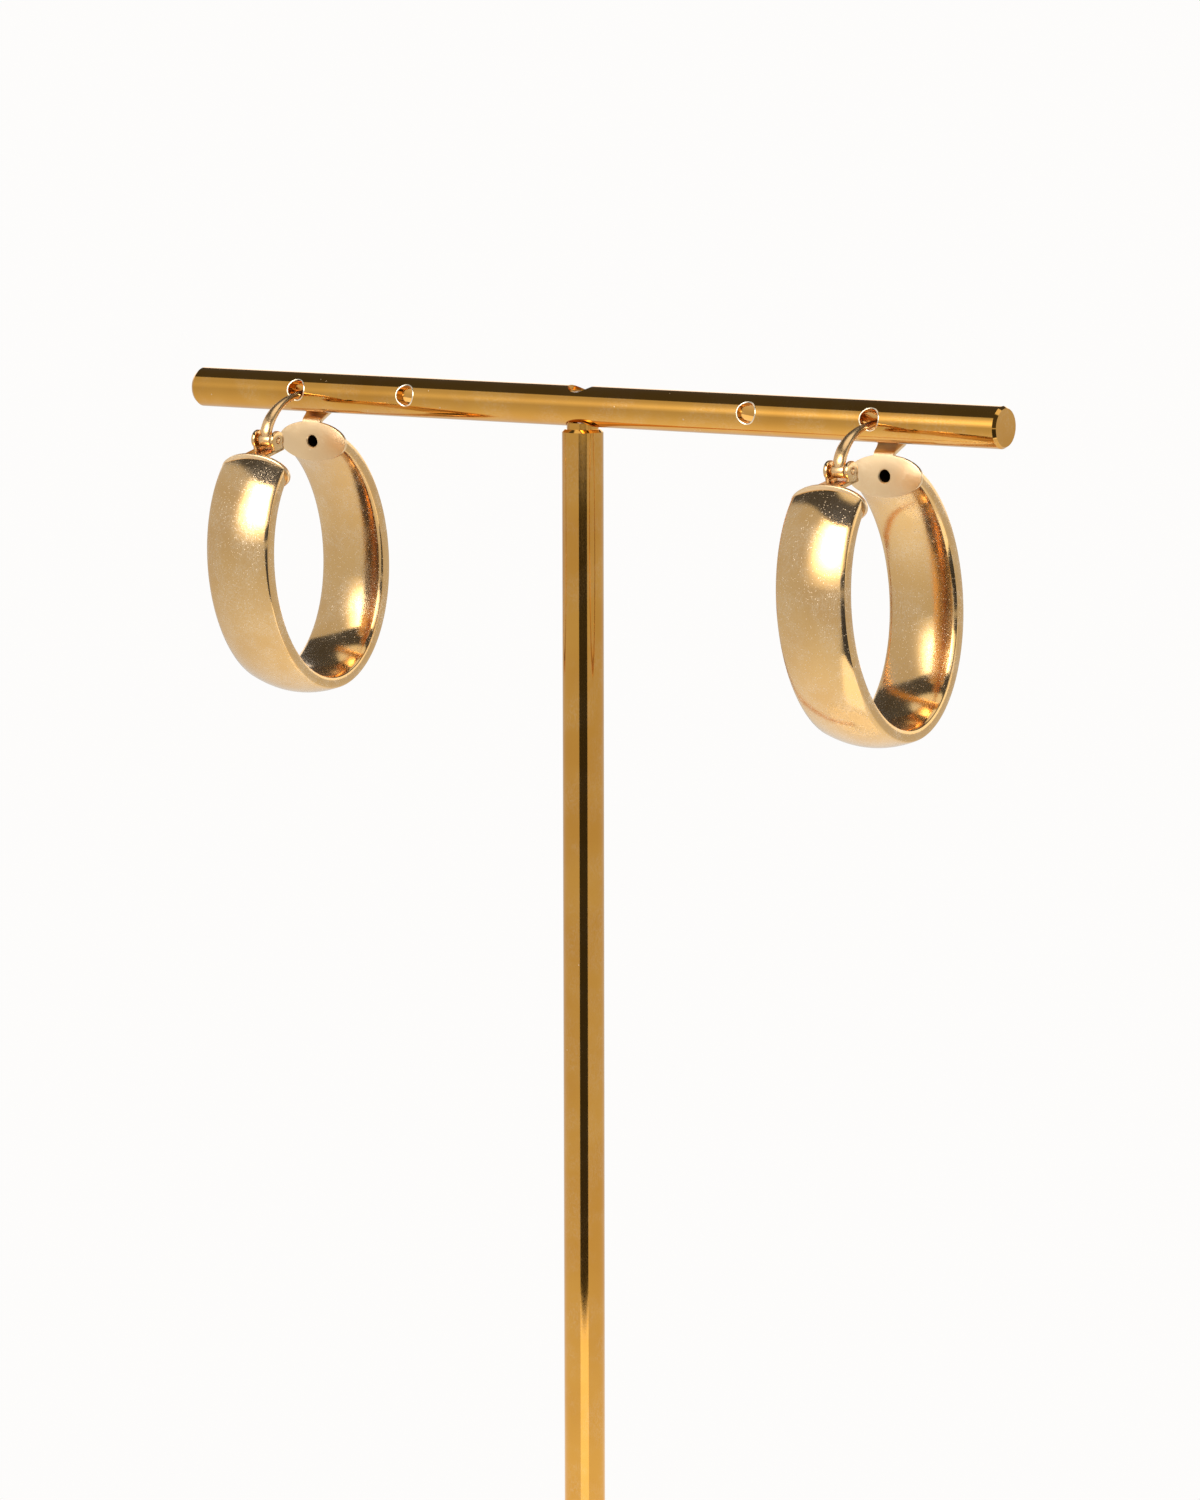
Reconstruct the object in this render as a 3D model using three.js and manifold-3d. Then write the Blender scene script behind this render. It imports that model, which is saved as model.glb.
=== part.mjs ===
// A pair of wide oval hoop earrings hanging on a plain T-bar stand.
// Millimetres, +Z up, origin at the centre of the base's underside.
// X runs along the crossbar and -Y is the front, where the hinges are.
import * as THREE from "three";
import { mergeVertices } from "three/addons/utils/BufferGeometryUtils.js";
import Module from "manifold-3d";

const wasm = await Module();
wasm.setup();

// Stand
const BAR_DIAMETER = 5.0;
const BAR_LENGTH = 119.4;
const BAR_AXIS_HEIGHT = 160.0;
const BAR_CHAMFER_ALONG = 0.4;
const BAR_CHAMFER_DEEP = 0.25;
const HOLE_FROM_END = 17.1;
const HOLE_SPACING = 17.2;
const HOLE_SLACK = 1.85;
const HOLE_RISE_DEG = 10.0;
const POST_DIAMETER = 5.08;
const POST_TOP_CHAMFER = 0.35;
const SHOULDER_GAP = 0.3;
const SHOULDER_WIDTH = 0.59;
const NECK_DEPTH_IN_BAR = 0.5;
const SCREW_HEAD_DIAMETER = 3.4;
const SCREW_HEAD_HEIGHT = 1.2;
const SCREW_RECESS = 0.75;
const SCREW_SOCKET_DIAMETER = 1.6;
const SCREW_SOCKET_DEPTH = 0.7;
const SCREW_SOCKET_SIDES = 6;
const SHANK_DIAMETER = 1.8;
const SHANK_LENGTH = 9.0;
const BASE_DIAMETER = 80.0;
const BASE_HEIGHT = 6.0;
const BASE_EDGE = 0.8;
const BASE_UNDER_CHAMFER = 0.4;
const POST_SEAT_DEPTH = 4.0;
const FIT_GAP = 0.1;

// Hollow band of each hoop, in a frame whose origin is the crossbar's hole
const OVAL_HALF_DEPTH = 11.8;
const OVAL_HALF_HEIGHT = 15.9;
const OVAL_CENTRE_Y = -6.3;
const OPENING_HALF_DEG = 31.0;
const LOFTED_SHARE_OF_OPENING = 0.4;
const BAND_WIDTH = 9.7;
const RIM_THICKNESS = 1.35;
const OUTER_CROWN = 0.8;
const INNER_CROWN = 0.95;
const BAND_WALL = 0.35;

// Flat end plates that close the band
const PLATE_WIDTH = 10.5;
const PLATE_HEIGHT = 5.1;
const PLATE_THICKNESS = 0.5;
const PLATE_LEAN_DEG = 8.0;
const PLATE_BELOW_BAR = 1.52;
const FRONT_PLATE_DROP = 0.3;
const VENT_DIAMETER = 1.55;

// Hinge on the front plate
const PIN_BEHIND_PLATE = 3.18;
const PIN_ABOVE_PLATE = 2.97;
const PIN_DIAMETER = 0.64;
const PIN_HEAD = 0.12;
const PIN_CLEARANCE = 0.1;
const EAR_DIAMETER = 2.4;
const EAR_THICKNESS = 0.5;
const EAR_LEG_DEPTH = 1.9;
const EYE_DIAMETER = 1.7;
const EYE_CLEARANCE = 0.15;
const EYE_SIDE_GAP = 0.35;
const HINGE_FLOOR_THICKNESS = 0.5;

// Ear wire: flat at the hinge, round towards its tip
const WIRE_DIAMETER = 0.8;
const WIRE_ROOT_WIDTH = 1.7;
const WIRE_ROOT_THICKNESS = 1.0;
const WIRE_CROWN_HEIGHT = 0.1;
const WIRE_OVERHANG = 1.4;
const WIRE_TIP_HEIGHT = -1.7;
const WIRE_TIP_SHARE = 0.55;
const WIRE_FLAT_UNTIL = 0.12;
const WIRE_ROUND_FROM = 0.58;

// Route of the wire as shares: from the pin back to the hole, and from the pin up to the crown
const WIRE_FRONT_ROUTE = [
  [-0.016, 0.09], [0.0, 0.3], [0.098, 0.595], [0.266, 0.851], [0.489, 0.99], [0.717, 1.005], [0.935, 0.955],
];

// Route of the tail as shares: from the hole back to the tip, and from the crown down to the tip
const WIRE_TAIL_ROUTE = [[0.308, 0.27], [0.692, 0.55], [1.0, 1.0]];

// Catch on the back plate
const CATCH_NECK_WIDTH = 2.95;
const CATCH_WAIST_WIDTH = 3.3;
const CATCH_TOP_WIDTH = 3.9;
const CATCH_THICKNESS = 0.5;
const CATCH_OVERLAP = 1.0;
const CATCH_BAR_GAP = 1.0;
const CATCH_SLOT_SLACK = 0.25;
const CATCH_SLOT_FROM_DEG = 28.0;

// The tab's bend round the crossbar: degrees from straight below the bar, and its width there
const CATCH_BEND = [
  [18.0, CATCH_WAIST_WIDTH], [35.0, CATCH_TOP_WIDTH], [50.0, CATCH_TOP_WIDTH], [66.0, CATCH_TOP_WIDTH],
  [80.0, CATCH_NECK_WIDTH],
];

// How each earring hangs in its hole: degrees, and its slide as shares of the wire's play in the hole
const EARRINGS = [
  { name: "left", side: -1, tilt: 13.5, lean: 1.2, yaw: 0.8, slide: [0.54, -0.76, 0.38] },
  { name: "right", side: 1, tilt: 10.5, lean: -1.5, yaw: -1.5, slide: [0.0, 0.0, 0.0] },
];

// How finely round forms are cut
const BAR_SIDES = 40;
const BASE_SIDES = 64;
const HOLE_SIDES = 24;
const SMALL_SIDES = 20;
const PLATE_SIDES = 44;
const EDGE_STEPS = 3;
const BAND_STEPS = 60;
const CROWN_STEPS = 8;
const HOLLOW_STEPS = 40;
const HOLLOW_CROWN_STEPS = 4;
const WIRE_STEPS = 26;
const WIRE_SIDES = 10;
const WELD = 1e-5;

// Sizes that follow from the ones above
const HOLE_DIAMETER = WIRE_DIAMETER + HOLE_SLACK;
const OUTER_HOLE_X = BAR_LENGTH / 2 - HOLE_FROM_END;
const INNER_HOLE_X = OUTER_HOLE_X - HOLE_SPACING;
const NECK_DIAMETER = POST_DIAMETER - 2 * SHOULDER_WIDTH;
const EAR_SPACING = WIRE_ROOT_WIDTH + 2 * EYE_SIDE_GAP + EAR_THICKNESS;
const CATCH_SLOT_WIDTH = WIRE_DIAMETER + CATCH_SLOT_SLACK;
const CATCH_BEND_RADIUS = BAR_DIAMETER / 2 + CATCH_BAR_GAP + CATCH_THICKNESS / 2;

const radians = THREE.MathUtils.degToRad;
const vector = (x, y, z) => new THREE.Vector3(x, y, z);

// The height of the end plates' middles: they hang just below the crossbar.
const plateHeight = () => -BAR_DIAMETER / 2 - PLATE_BELOW_BAR - PLATE_HEIGHT / 2;

// The height of the oval's centre, which puts its ends at the plates.
const ovalCentreZ = () => plateHeight() - OVAL_HALF_HEIGHT * Math.cos(radians(OPENING_HALF_DEG));

// A closed mesh as a solid, with the vertices that faces share merged.
function solidFrom(geometry) {
  const bare = new THREE.BufferGeometry();
  bare.setAttribute("position", geometry.getAttribute("position"));
  if (geometry.index) bare.setIndex(geometry.index);
  const merged = mergeVertices(bare, WELD);
  const mesh = new wasm.Mesh({
    numProp: 3,
    vertProperties: new Float32Array(merged.getAttribute("position").array),
    triVerts: new Uint32Array(merged.index.array),
  });
  return new wasm.Manifold(mesh);
}

// The faces of a solid as a geometry with flat normals.
function geometryFrom(solid) {
  const mesh = solid.getMesh();
  const geometry = new THREE.BufferGeometry();
  geometry.setAttribute("position", new THREE.BufferAttribute(mesh.vertProperties, 3));
  geometry.setIndex(new THREE.BufferAttribute(mesh.triVerts, 1));
  const flat = geometry.toNonIndexed();
  flat.computeVertexNormals();
  return flat;
}

const joined = (solids) => solids.reduce((all, next) => all.add(next));

// A round rod along X, centred at a point of the YZ plane.
function rodAlongX(radius, fromX, toX, y, z, sides) {
  const rod = new THREE.CylinderGeometry(radius, radius, toX - fromX, sides);
  rod.rotateZ(Math.PI / 2);
  rod.translate((fromX + toX) / 2, y, z);
  return solidFrom(rod);
}

// A round rod that stands on Z.
function rodAlongZ(radius, fromZ, toZ, sides) {
  const rod = new THREE.CylinderGeometry(radius, radius, toZ - fromZ, sides);
  rod.rotateX(Math.PI / 2);
  rod.translate(0, 0, (fromZ + toZ) / 2);
  return solidFrom(rod);
}

// A turned piece round Z from a profile of [radius, height] pairs that starts and ends on the axis.
function turned(profile, sides) {
  const lathe = new THREE.LatheGeometry(profile.map(([r, h]) => new THREE.Vector2(r, h)), sides);
  lathe.rotateX(Math.PI / 2);
  return solidFrom(lathe);
}

// A closed skin over rings of points, all with as many points and wound the same way.
function lofted(rings) {
  const count = rings[0].length;
  const points = rings.flat();
  const faces = [];
  for (let i = 0; i + 1 < rings.length; i += 1) {
    for (let j = 0; j < count; j += 1) {
      const a = i * count + j;
      const b = i * count + ((j + 1) % count);
      faces.push(a, b, b + count, a, b + count, a + count);
    }
  }
  const last = (rings.length - 1) * count;
  for (let j = 1; j + 1 < count; j += 1) {
    faces.push(0, j + 1, j, last, last + j, last + j + 1);
  }
  const geometry = new THREE.BufferGeometry().setFromPoints(points);
  geometry.setIndex(faces);
  const solid = solidFrom(geometry);
  if (solid.volume() > 0) return solid;
  const flipped = [];
  for (let k = 0; k < faces.length; k += 3) flipped.push(faces[k], faces[k + 2], faces[k + 1]);
  geometry.setIndex(flipped);
  return solidFrom(geometry);
}

// A block with its centre, its sizes and a turn about X.
function block(width, depth, height, y, z, turnAboutX) {
  const box = new THREE.BoxGeometry(width, depth, height);
  box.rotateX(turnAboutX);
  box.translate(0, y, z);
  return solidFrom(box);
}

// A point of the oval and its outward normal; the angle counts from the bottom towards the back.
function ovalAt(angle) {
  const y = OVAL_CENTRE_Y + OVAL_HALF_DEPTH * Math.sin(angle);
  const z = ovalCentreZ() - OVAL_HALF_HEIGHT * Math.cos(angle);
  const normal = new THREE.Vector2(
    Math.sin(angle) / OVAL_HALF_DEPTH, -Math.cos(angle) / OVAL_HALF_HEIGHT).normalize();
  return { y, z, normal };
}

// The band's section as [across, outwards] pairs: two convex faces between flat rims.
function bandSection(width, rim, outerCrown, innerCrown, steps) {
  const section = [];
  for (let i = 0; i <= steps; i += 1) {
    const u = 1 - (2 * i) / steps;
    section.push([(u * width) / 2, rim / 2 + outerCrown * (1 - u * u)]);
  }
  for (let i = 0; i <= steps; i += 1) {
    const u = -1 + (2 * i) / steps;
    section.push([(u * width) / 2, -rim / 2 - innerCrown * (1 - u * u)]);
  }
  return section;
}

// The section carried round the oval, past both ends of the opening.
function bandLoft(section, steps) {
  const reach = Math.PI - radians(OPENING_HALF_DEG) * (1 - LOFTED_SHARE_OF_OPENING);
  const rings = [];
  for (let i = 0; i <= steps; i += 1) {
    const { y, z, normal } = ovalAt(-reach + (2 * reach * i) / steps);
    rings.push(section.map(([across, out]) => vector(across, y + normal.x * out, z + normal.y * out)));
  }
  return lofted(rings);
}

// Where an end plate sits: side is -1 at the hinge and 1 at the catch.
function plateFrame(side, drop) {
  const end = ovalAt(side * (Math.PI - radians(OPENING_HALF_DEG)));
  const lean = radians(PLATE_LEAN_DEG);
  const into = new THREE.Vector2(-side * Math.cos(lean), Math.sin(lean));
  const up = new THREE.Vector2(side * Math.sin(lean), Math.cos(lean));
  return { y: end.y - up.x * drop, z: end.z - up.y * drop, into, up };
}

const frontPlate = () => plateFrame(-1, FRONT_PLATE_DROP);
const backPlate = () => plateFrame(1, 0);

// The hinge pin's place, behind and above the front end of the band.
function pinPlace() {
  const end = plateFrame(-1, 0);
  return { y: end.y + PIN_BEHIND_PLATE, z: end.z + PIN_ABOVE_PLATE };
}

// A point of a plate's own frame, counted out into the opening and up along the plate.
function onPlate(frame, out, up) {
  return {
    y: frame.y + frame.into.x * out + frame.up.x * up,
    z: frame.z + frame.into.y * out + frame.up.y * up,
  };
}

// An oval plate with its inner face on the band's end.
function endPlate(frame) {
  const rings = [-PLATE_THICKNESS / 2, PLATE_THICKNESS / 2].map((out) =>
    Array.from({ length: PLATE_SIDES }, (_, k) => {
      const angle = (2 * Math.PI * k) / PLATE_SIDES;
      const at = onPlate(frame, out, (PLATE_HEIGHT / 2) * Math.sin(angle));
      return vector((PLATE_WIDTH / 2) * Math.cos(angle), at.y, at.z);
    }));
  return lofted(rings);
}

// Everything beyond an end plate's middle, to trim the band.
function beyondPlate(frame) {
  const depth = PLATE_HEIGHT;
  const at = onPlate(frame, depth / 2, 0);
  const turn = Math.atan2(frame.into.y, frame.into.x);
  return block(BAND_WIDTH * 2, depth, PLATE_HEIGHT * 2, at.y, at.z, turn);
}

// A strap of rectangular section along points that each hold y, z, width and thickness.
function strap(points) {
  const rings = points.map((point, i) => {
    const before = points[Math.max(i - 1, 0)];
    const after = points[Math.min(i + 1, points.length - 1)];
    const along = new THREE.Vector2(after.y - before.y, after.z - before.z).normalize();
    const half = point.thickness / 2;
    const front = vector(0, point.y - along.y * half, point.z + along.x * half);
    const back = vector(0, point.y + along.y * half, point.z - along.x * half);
    const side = point.width / 2;
    return [
      vector(side, front.y, front.z), vector(-side, front.y, front.z),
      vector(-side, back.y, back.z), vector(side, back.y, back.z),
    ];
  });
  return lofted(rings);
}

// The two ears that hold the pin, and the floor that joins them to the front plate.
function hingeBracket(frame) {
  const pin = pinPlace();
  const floorTop = pin.z - EYE_DIAMETER / 2 - EYE_CLEARANCE;
  const floorZ = floorTop - HINGE_FLOOR_THICKNESS / 2;
  const floorEnd = pin.y + EAR_LEG_DEPTH / 2;
  const floor = block(
    EAR_SPACING + EAR_THICKNESS, floorEnd - frame.y, HINGE_FLOOR_THICKNESS,
    (floorEnd + frame.y) / 2, floorZ, 0);
  const legHeight = pin.z - floorZ;
  const ears = [-1, 1].map((side) => {
    const fromX = (side * EAR_SPACING) / 2 - EAR_THICKNESS / 2;
    const disc = rodAlongX(EAR_DIAMETER / 2, fromX, fromX + EAR_THICKNESS, pin.y, pin.z, SMALL_SIDES);
    const leg = block(EAR_THICKNESS, EAR_LEG_DEPTH, legHeight, pin.y, floorZ + legHeight / 2, 0);
    return disc.add(leg.translate([fromX + EAR_THICKNESS / 2, 0, 0]));
  });
  const holeReach = EAR_SPACING;
  const hole = rodAlongX(
    PIN_DIAMETER / 2 + PIN_CLEARANCE, -holeReach, holeReach, pin.y, pin.z, SMALL_SIDES);
  return joined([floor, ...ears]).subtract(hole);
}

// The tab that rises from the back plate and bends round behind the crossbar.
function catchTab(frame) {
  const foot = onPlate(frame, 0, PLATE_HEIGHT / 2 - CATCH_OVERLAP);
  const root = onPlate(frame, 0, PLATE_HEIGHT / 2);
  const bend = CATCH_BEND.map(([degrees, width]) => {
    const angle = radians(degrees);
    return { y: CATCH_BEND_RADIUS * Math.sin(angle), z: -CATCH_BEND_RADIUS * Math.cos(angle), width };
  });
  const points = [{ ...foot, width: CATCH_NECK_WIDTH }, { ...root, width: CATCH_NECK_WIDTH }, ...bend];
  return strap(points.map((point) => ({ ...point, thickness: CATCH_THICKNESS })));
}

// The slot in the tab, open at its top, that the wire's tip drops into.
function catchSlot() {
  const floor = -CATCH_BEND_RADIUS * Math.cos(radians(CATCH_SLOT_FROM_DEG));
  const reach = CATCH_BEND_RADIUS * 2;
  return block(CATCH_SLOT_WIDTH, reach, reach, reach / 2, floor + reach / 2, 0);
}

// The ear wire's centre line, from the eye to the tip behind the crossbar.
function wirePath() {
  const pin = pinPlace();
  const tail = BAR_DIAMETER / 2 + WIRE_OVERHANG;
  const { lerp } = THREE.MathUtils;
  return new THREE.CatmullRomCurve3([
    ...WIRE_FRONT_ROUTE.map(
      ([back, up]) => vector(0, lerp(pin.y, 0, back), lerp(pin.z, WIRE_CROWN_HEIGHT, up))),
    ...WIRE_TAIL_ROUTE.map(
      ([back, down]) => vector(0, tail * back, lerp(WIRE_CROWN_HEIGHT, WIRE_TIP_HEIGHT, down))),
  ], false, "centripetal");
}

// The wire: a rounded flat section at the hinge that turns round towards the tip.
function earWire() {
  const path = wirePath();
  const pin = pinPlace();
  const rings = [];
  for (let i = 0; i <= WIRE_STEPS; i += 1) {
    const t = i / WIRE_STEPS;
    const at = path.getPointAt(t);
    const along = path.getTangentAt(t);
    const out = vector(0, -along.z, along.y);
    const share = THREE.MathUtils.smoothstep(t, WIRE_FLAT_UNTIL, WIRE_ROUND_FROM);
    const tip = i === WIRE_STEPS ? WIRE_TIP_SHARE : 1;
    const halfWidth = (tip * THREE.MathUtils.lerp(WIRE_ROOT_WIDTH, WIRE_DIAMETER, share)) / 2;
    const halfThickness = (tip * THREE.MathUtils.lerp(WIRE_ROOT_THICKNESS, WIRE_DIAMETER, share)) / 2;
    rings.push(Array.from({ length: WIRE_SIDES }, (_, k) => {
      const angle = (2 * Math.PI * (k + 0.5)) / WIRE_SIDES;
      return vector(halfWidth * Math.cos(angle), 0, 0)
        .addScaledVector(out, halfThickness * Math.sin(angle))
        .add(at);
    }));
  }
  const eye = rodAlongX(
    EYE_DIAMETER / 2, -WIRE_ROOT_WIDTH / 2, WIRE_ROOT_WIDTH / 2, pin.y, pin.z, SMALL_SIDES);
  const hole = rodAlongX(
    PIN_DIAMETER / 2 + PIN_CLEARANCE, -WIRE_ROOT_WIDTH, WIRE_ROOT_WIDTH, pin.y, pin.z, SMALL_SIDES);
  return lofted(rings).add(eye).subtract(hole);
}

// The pin, long enough to show a low head outside each ear.
function hingePin() {
  const pin = pinPlace();
  const reach = EAR_SPACING / 2 + EAR_THICKNESS / 2 + PIN_HEAD;
  return rodAlongX(PIN_DIAMETER / 2, -reach, reach, pin.y, pin.z, SMALL_SIDES);
}

// The hollow band with its end plates, hinge ears and catch, soldered into one piece.
function hoop() {
  const front = frontPlate();
  const back = backPlate();
  const skin = bandLoft(
    bandSection(BAND_WIDTH, RIM_THICKNESS, OUTER_CROWN, INNER_CROWN, CROWN_STEPS), BAND_STEPS);
  const hollow = bandLoft(
    bandSection(BAND_WIDTH - 2 * BAND_WALL, RIM_THICKNESS - BAND_WALL, OUTER_CROWN - BAND_WALL / 2,
      INNER_CROWN - BAND_WALL / 2, HOLLOW_CROWN_STEPS), HOLLOW_STEPS);
  const trimmed = skin.subtract(hollow).subtract(beyondPlate(front)).subtract(beyondPlate(back));
  const tab = catchTab(back).subtract(catchSlot());
  return joined([trimmed, endPlate(front), endPlate(back), hingeBracket(front), tab])
    .subtract(ventDrill(back));
}

// The round hole through the back plate into the hollow band.
function ventDrill(frame) {
  const radius = VENT_DIAMETER / 2;
  const drill = new THREE.CylinderGeometry(radius, radius, PLATE_THICKNESS * 2, SMALL_SIDES);
  drill.rotateX(Math.atan2(frame.into.y, frame.into.x));
  drill.translate(0, frame.y, frame.z);
  return solidFrom(drill);
}

// The crossbar: chamfered ends, four earring holes and a stepped hole for the screw and the neck.
function crossbar() {
  const radius = BAR_DIAMETER / 2;
  const half = BAR_LENGTH / 2;
  const profile = [
    [0, -half], [radius - BAR_CHAMFER_DEEP, -half], [radius, -half + BAR_CHAMFER_ALONG],
    [radius, half - BAR_CHAMFER_ALONG], [radius - BAR_CHAMFER_DEEP, half], [0, half],
  ];
  const bar = turned(profile, BAR_SIDES).rotate([0, 90, 0]);
  const drills = [-OUTER_HOLE_X, -INNER_HOLE_X, INNER_HOLE_X, OUTER_HOLE_X].map((x) => {
    const drill = new THREE.CylinderGeometry(
      HOLE_DIAMETER / 2, HOLE_DIAMETER / 2, BAR_DIAMETER * 2, HOLE_SIDES);
    drill.rotateX(-radians(HOLE_RISE_DEG));
    drill.translate(x, 0, 0);
    return solidFrom(drill);
  });
  const headSeat = radius - SCREW_RECESS - SCREW_HEAD_HEIGHT - FIT_GAP;
  const neckTop = -radius + NECK_DEPTH_IN_BAR + FIT_GAP;
  const steps = [
    rodAlongZ(SCREW_HEAD_DIAMETER / 2 + FIT_GAP, headSeat, BAR_DIAMETER, HOLE_SIDES),
    rodAlongZ(SHANK_DIAMETER / 2 + FIT_GAP, -BAR_DIAMETER, BAR_DIAMETER, HOLE_SIDES),
    rodAlongZ(NECK_DIAMETER / 2 + FIT_GAP, -BAR_DIAMETER, neckTop, HOLE_SIDES),
  ];
  return [...drills, ...steps].reduce((rest, cut) => rest.subtract(cut), bar);
}

// The post: foot in the base, chamfered shoulder under the crossbar and a neck that enters it.
function post() {
  const radius = POST_DIAMETER / 2;
  const bottom = BASE_HEIGHT - POST_SEAT_DEPTH + FIT_GAP;
  const shoulder = BAR_AXIS_HEIGHT - BAR_DIAMETER / 2 - SHOULDER_GAP;
  const neckTop = BAR_AXIS_HEIGHT - BAR_DIAMETER / 2 + NECK_DEPTH_IN_BAR;
  const profile = [
    [0, bottom], [radius, bottom],
    [radius, shoulder - POST_TOP_CHAMFER], [radius - POST_TOP_CHAMFER, shoulder],
    [NECK_DIAMETER / 2, shoulder], [NECK_DIAMETER / 2, neckTop], [0, neckTop],
  ];
  const shankHole = rodAlongZ(
    SHANK_DIAMETER / 2 + FIT_GAP, screwFoot() - FIT_GAP * 2, BAR_AXIS_HEIGHT, HOLE_SIDES);
  return turned(profile, BAR_SIDES).subtract(shankHole);
}

// The height of the screw head's top, sunk below the crossbar's crown.
const screwTop = () => BAR_AXIS_HEIGHT + BAR_DIAMETER / 2 - SCREW_RECESS;

// The height of the screw's lower end.
const screwFoot = () => screwTop() - SCREW_HEAD_HEIGHT - SHANK_LENGTH;

// The screw that holds the crossbar on the post, with a six-sided socket.
function barScrew() {
  const top = screwTop();
  const under = top - SCREW_HEAD_HEIGHT;
  const profile = [
    [0, screwFoot()], [SHANK_DIAMETER / 2, screwFoot()], [SHANK_DIAMETER / 2, under],
    [SCREW_HEAD_DIAMETER / 2, under], [SCREW_HEAD_DIAMETER / 2, top - FIT_GAP],
    [SCREW_HEAD_DIAMETER / 2 - FIT_GAP, top], [0, top],
  ];
  const socket = rodAlongZ(
    SCREW_SOCKET_DIAMETER / 2, top - SCREW_SOCKET_DEPTH, top + SCREW_SOCKET_DEPTH, SCREW_SOCKET_SIDES);
  return turned(profile, HOLE_SIDES).subtract(socket);
}

// The round weighted base with an eased edge and a socket for the post.
function base() {
  const radius = BASE_DIAMETER / 2;
  const seat = POST_DIAMETER / 2 + FIT_GAP;
  const seatFloor = BASE_HEIGHT - POST_SEAT_DEPTH;
  const edge = Array.from({ length: EDGE_STEPS + 1 }, (_, k) => {
    const angle = (Math.PI / 2) * (k / EDGE_STEPS);
    const inset = BASE_EDGE * (1 - Math.cos(angle));
    return [radius - inset, BASE_HEIGHT - BASE_EDGE * (1 - Math.sin(angle))];
  });
  const profile = [
    [0, 0], [radius - BASE_UNDER_CHAMFER, 0], [radius, BASE_UNDER_CHAMFER], ...edge,
    [seat, BASE_HEIGHT], [seat, seatFloor], [0, seatFloor],
  ];
  return turned(profile, BASE_SIDES);
}

const finishes = {
  baseWhite: { color: "#efece6", metalness: 0.0, roughness: 0.4 },
  standGold: { color: "#b98537", metalness: 1.0, roughness: 0.18 },
  hoopGold: { color: "#d8b36a", metalness: 1.0, roughness: 0.28 },
  wireGold: { color: "#d9a860", metalness: 1.0, roughness: 0.2 },
  screwSteel: { color: "#cfcac2", metalness: 1.0, roughness: 0.35 },
};

// A named mesh from a solid.
function piece(name, solid, finish) {
  const mesh = new THREE.Mesh(geometryFrom(solid), new THREE.MeshStandardMaterial(finishes[finish]));
  mesh.name = name;
  return mesh;
}

// One earring's three pieces, hung in its hole.
function earring({ name, side, tilt, lean, yaw, slide }) {
  const inner = new THREE.Group();
  inner.position.set(...slide).multiplyScalar(HOLE_SLACK / 2);
  inner.add(
    piece(`${name}_hoop`, hoop(), "hoopGold"),
    piece(`${name}_hinge_pin`, hingePin(), "wireGold"),
    piece(`${name}_ear_wire`, earWire(), "wireGold"),
  );
  const hung = new THREE.Group();
  hung.position.set(side * OUTER_HOLE_X, 0, BAR_AXIS_HEIGHT);
  hung.rotation.set(radians(tilt), radians(lean), radians(yaw), "ZYX");
  hung.add(inner);
  return hung;
}

const bar = piece("crossbar", crossbar(), "standGold");
bar.position.z = BAR_AXIS_HEIGHT;

const part = new THREE.Group();
part.add(
  piece("base", base(), "baseWhite"),
  piece("post", post(), "standGold"),
  bar,
  piece("bar_screw", barScrew(), "screwSteel"),
  ...EARRINGS.map(earring),
);

export default part;
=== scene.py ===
"""A pair of wide hoop earrings on a T-bar stand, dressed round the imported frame.

Lengths in the classes are millimetres in each piece's own frame. Meshes are written in metres.
"""

import logging
from dataclasses import dataclass, field
from enum import Enum
from math import cos, hypot, pi, radians, sin, sqrt

import bmesh
import bpy
from bpy.types import ID, Material, Mesh, Node, NodeSocket, NodeTree, Object
from mathutils import Matrix, Vector

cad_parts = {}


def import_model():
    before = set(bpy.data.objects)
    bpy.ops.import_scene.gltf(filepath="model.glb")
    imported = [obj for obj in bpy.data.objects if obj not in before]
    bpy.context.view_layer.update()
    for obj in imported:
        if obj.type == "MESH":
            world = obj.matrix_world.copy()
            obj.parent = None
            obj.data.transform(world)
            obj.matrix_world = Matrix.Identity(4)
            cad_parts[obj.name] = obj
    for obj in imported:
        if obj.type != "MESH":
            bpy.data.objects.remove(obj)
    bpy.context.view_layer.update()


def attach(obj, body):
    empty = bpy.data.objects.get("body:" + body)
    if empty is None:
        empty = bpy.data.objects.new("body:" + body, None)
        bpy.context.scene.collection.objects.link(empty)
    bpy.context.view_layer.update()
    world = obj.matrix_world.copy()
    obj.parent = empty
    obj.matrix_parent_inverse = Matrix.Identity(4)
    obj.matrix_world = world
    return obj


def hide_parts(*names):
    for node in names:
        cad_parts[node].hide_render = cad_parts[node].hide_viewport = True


Pairs = list[tuple[float, float]]
Rings = list[list[Vector]]

LOG = logging.getLogger("earrings")
MM = 0.001

# Sizes that several pieces share, in millimetres

BAR_HEIGHT = 160.0
OUTER_HOLE = 42.6
PIN = (-9.1975, -3.6)
PIN_PLACE = Matrix.Translation((0, *PIN))
PIN_HOLE = 0.84
EYE = 1.7
VENT = 1.55
PLATE_HEIGHT = 5.1

# The share of a bevel that its middle point is cut by, and the creases' angles in degrees

CORNER = 0.3
TURNED_CREASE = 25.0
PLATE_CREASE = 28.0
BAND_CREASE = 30.0
CREASE = 32.0
SHEET_CREASE = 40.0

# The colours of the studio's light, of worn metal, and of pale specks that are partly dust and partly painted
# glints of light

WARM_WHITE = (1.0, 0.98, 0.95, 1.0)
SEEN_WHITE = (1.0, 0.99, 0.98, 1.0)
WORN_COLOUR = (0.97, 0.86, 0.68, 1.0)
# Pale speck colour: dust, and painted glints of light
DUST_AND_GLINT_COLOUR = (0.95, 0.9, 0.8, 1.0)

# How strongly the marks show

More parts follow.
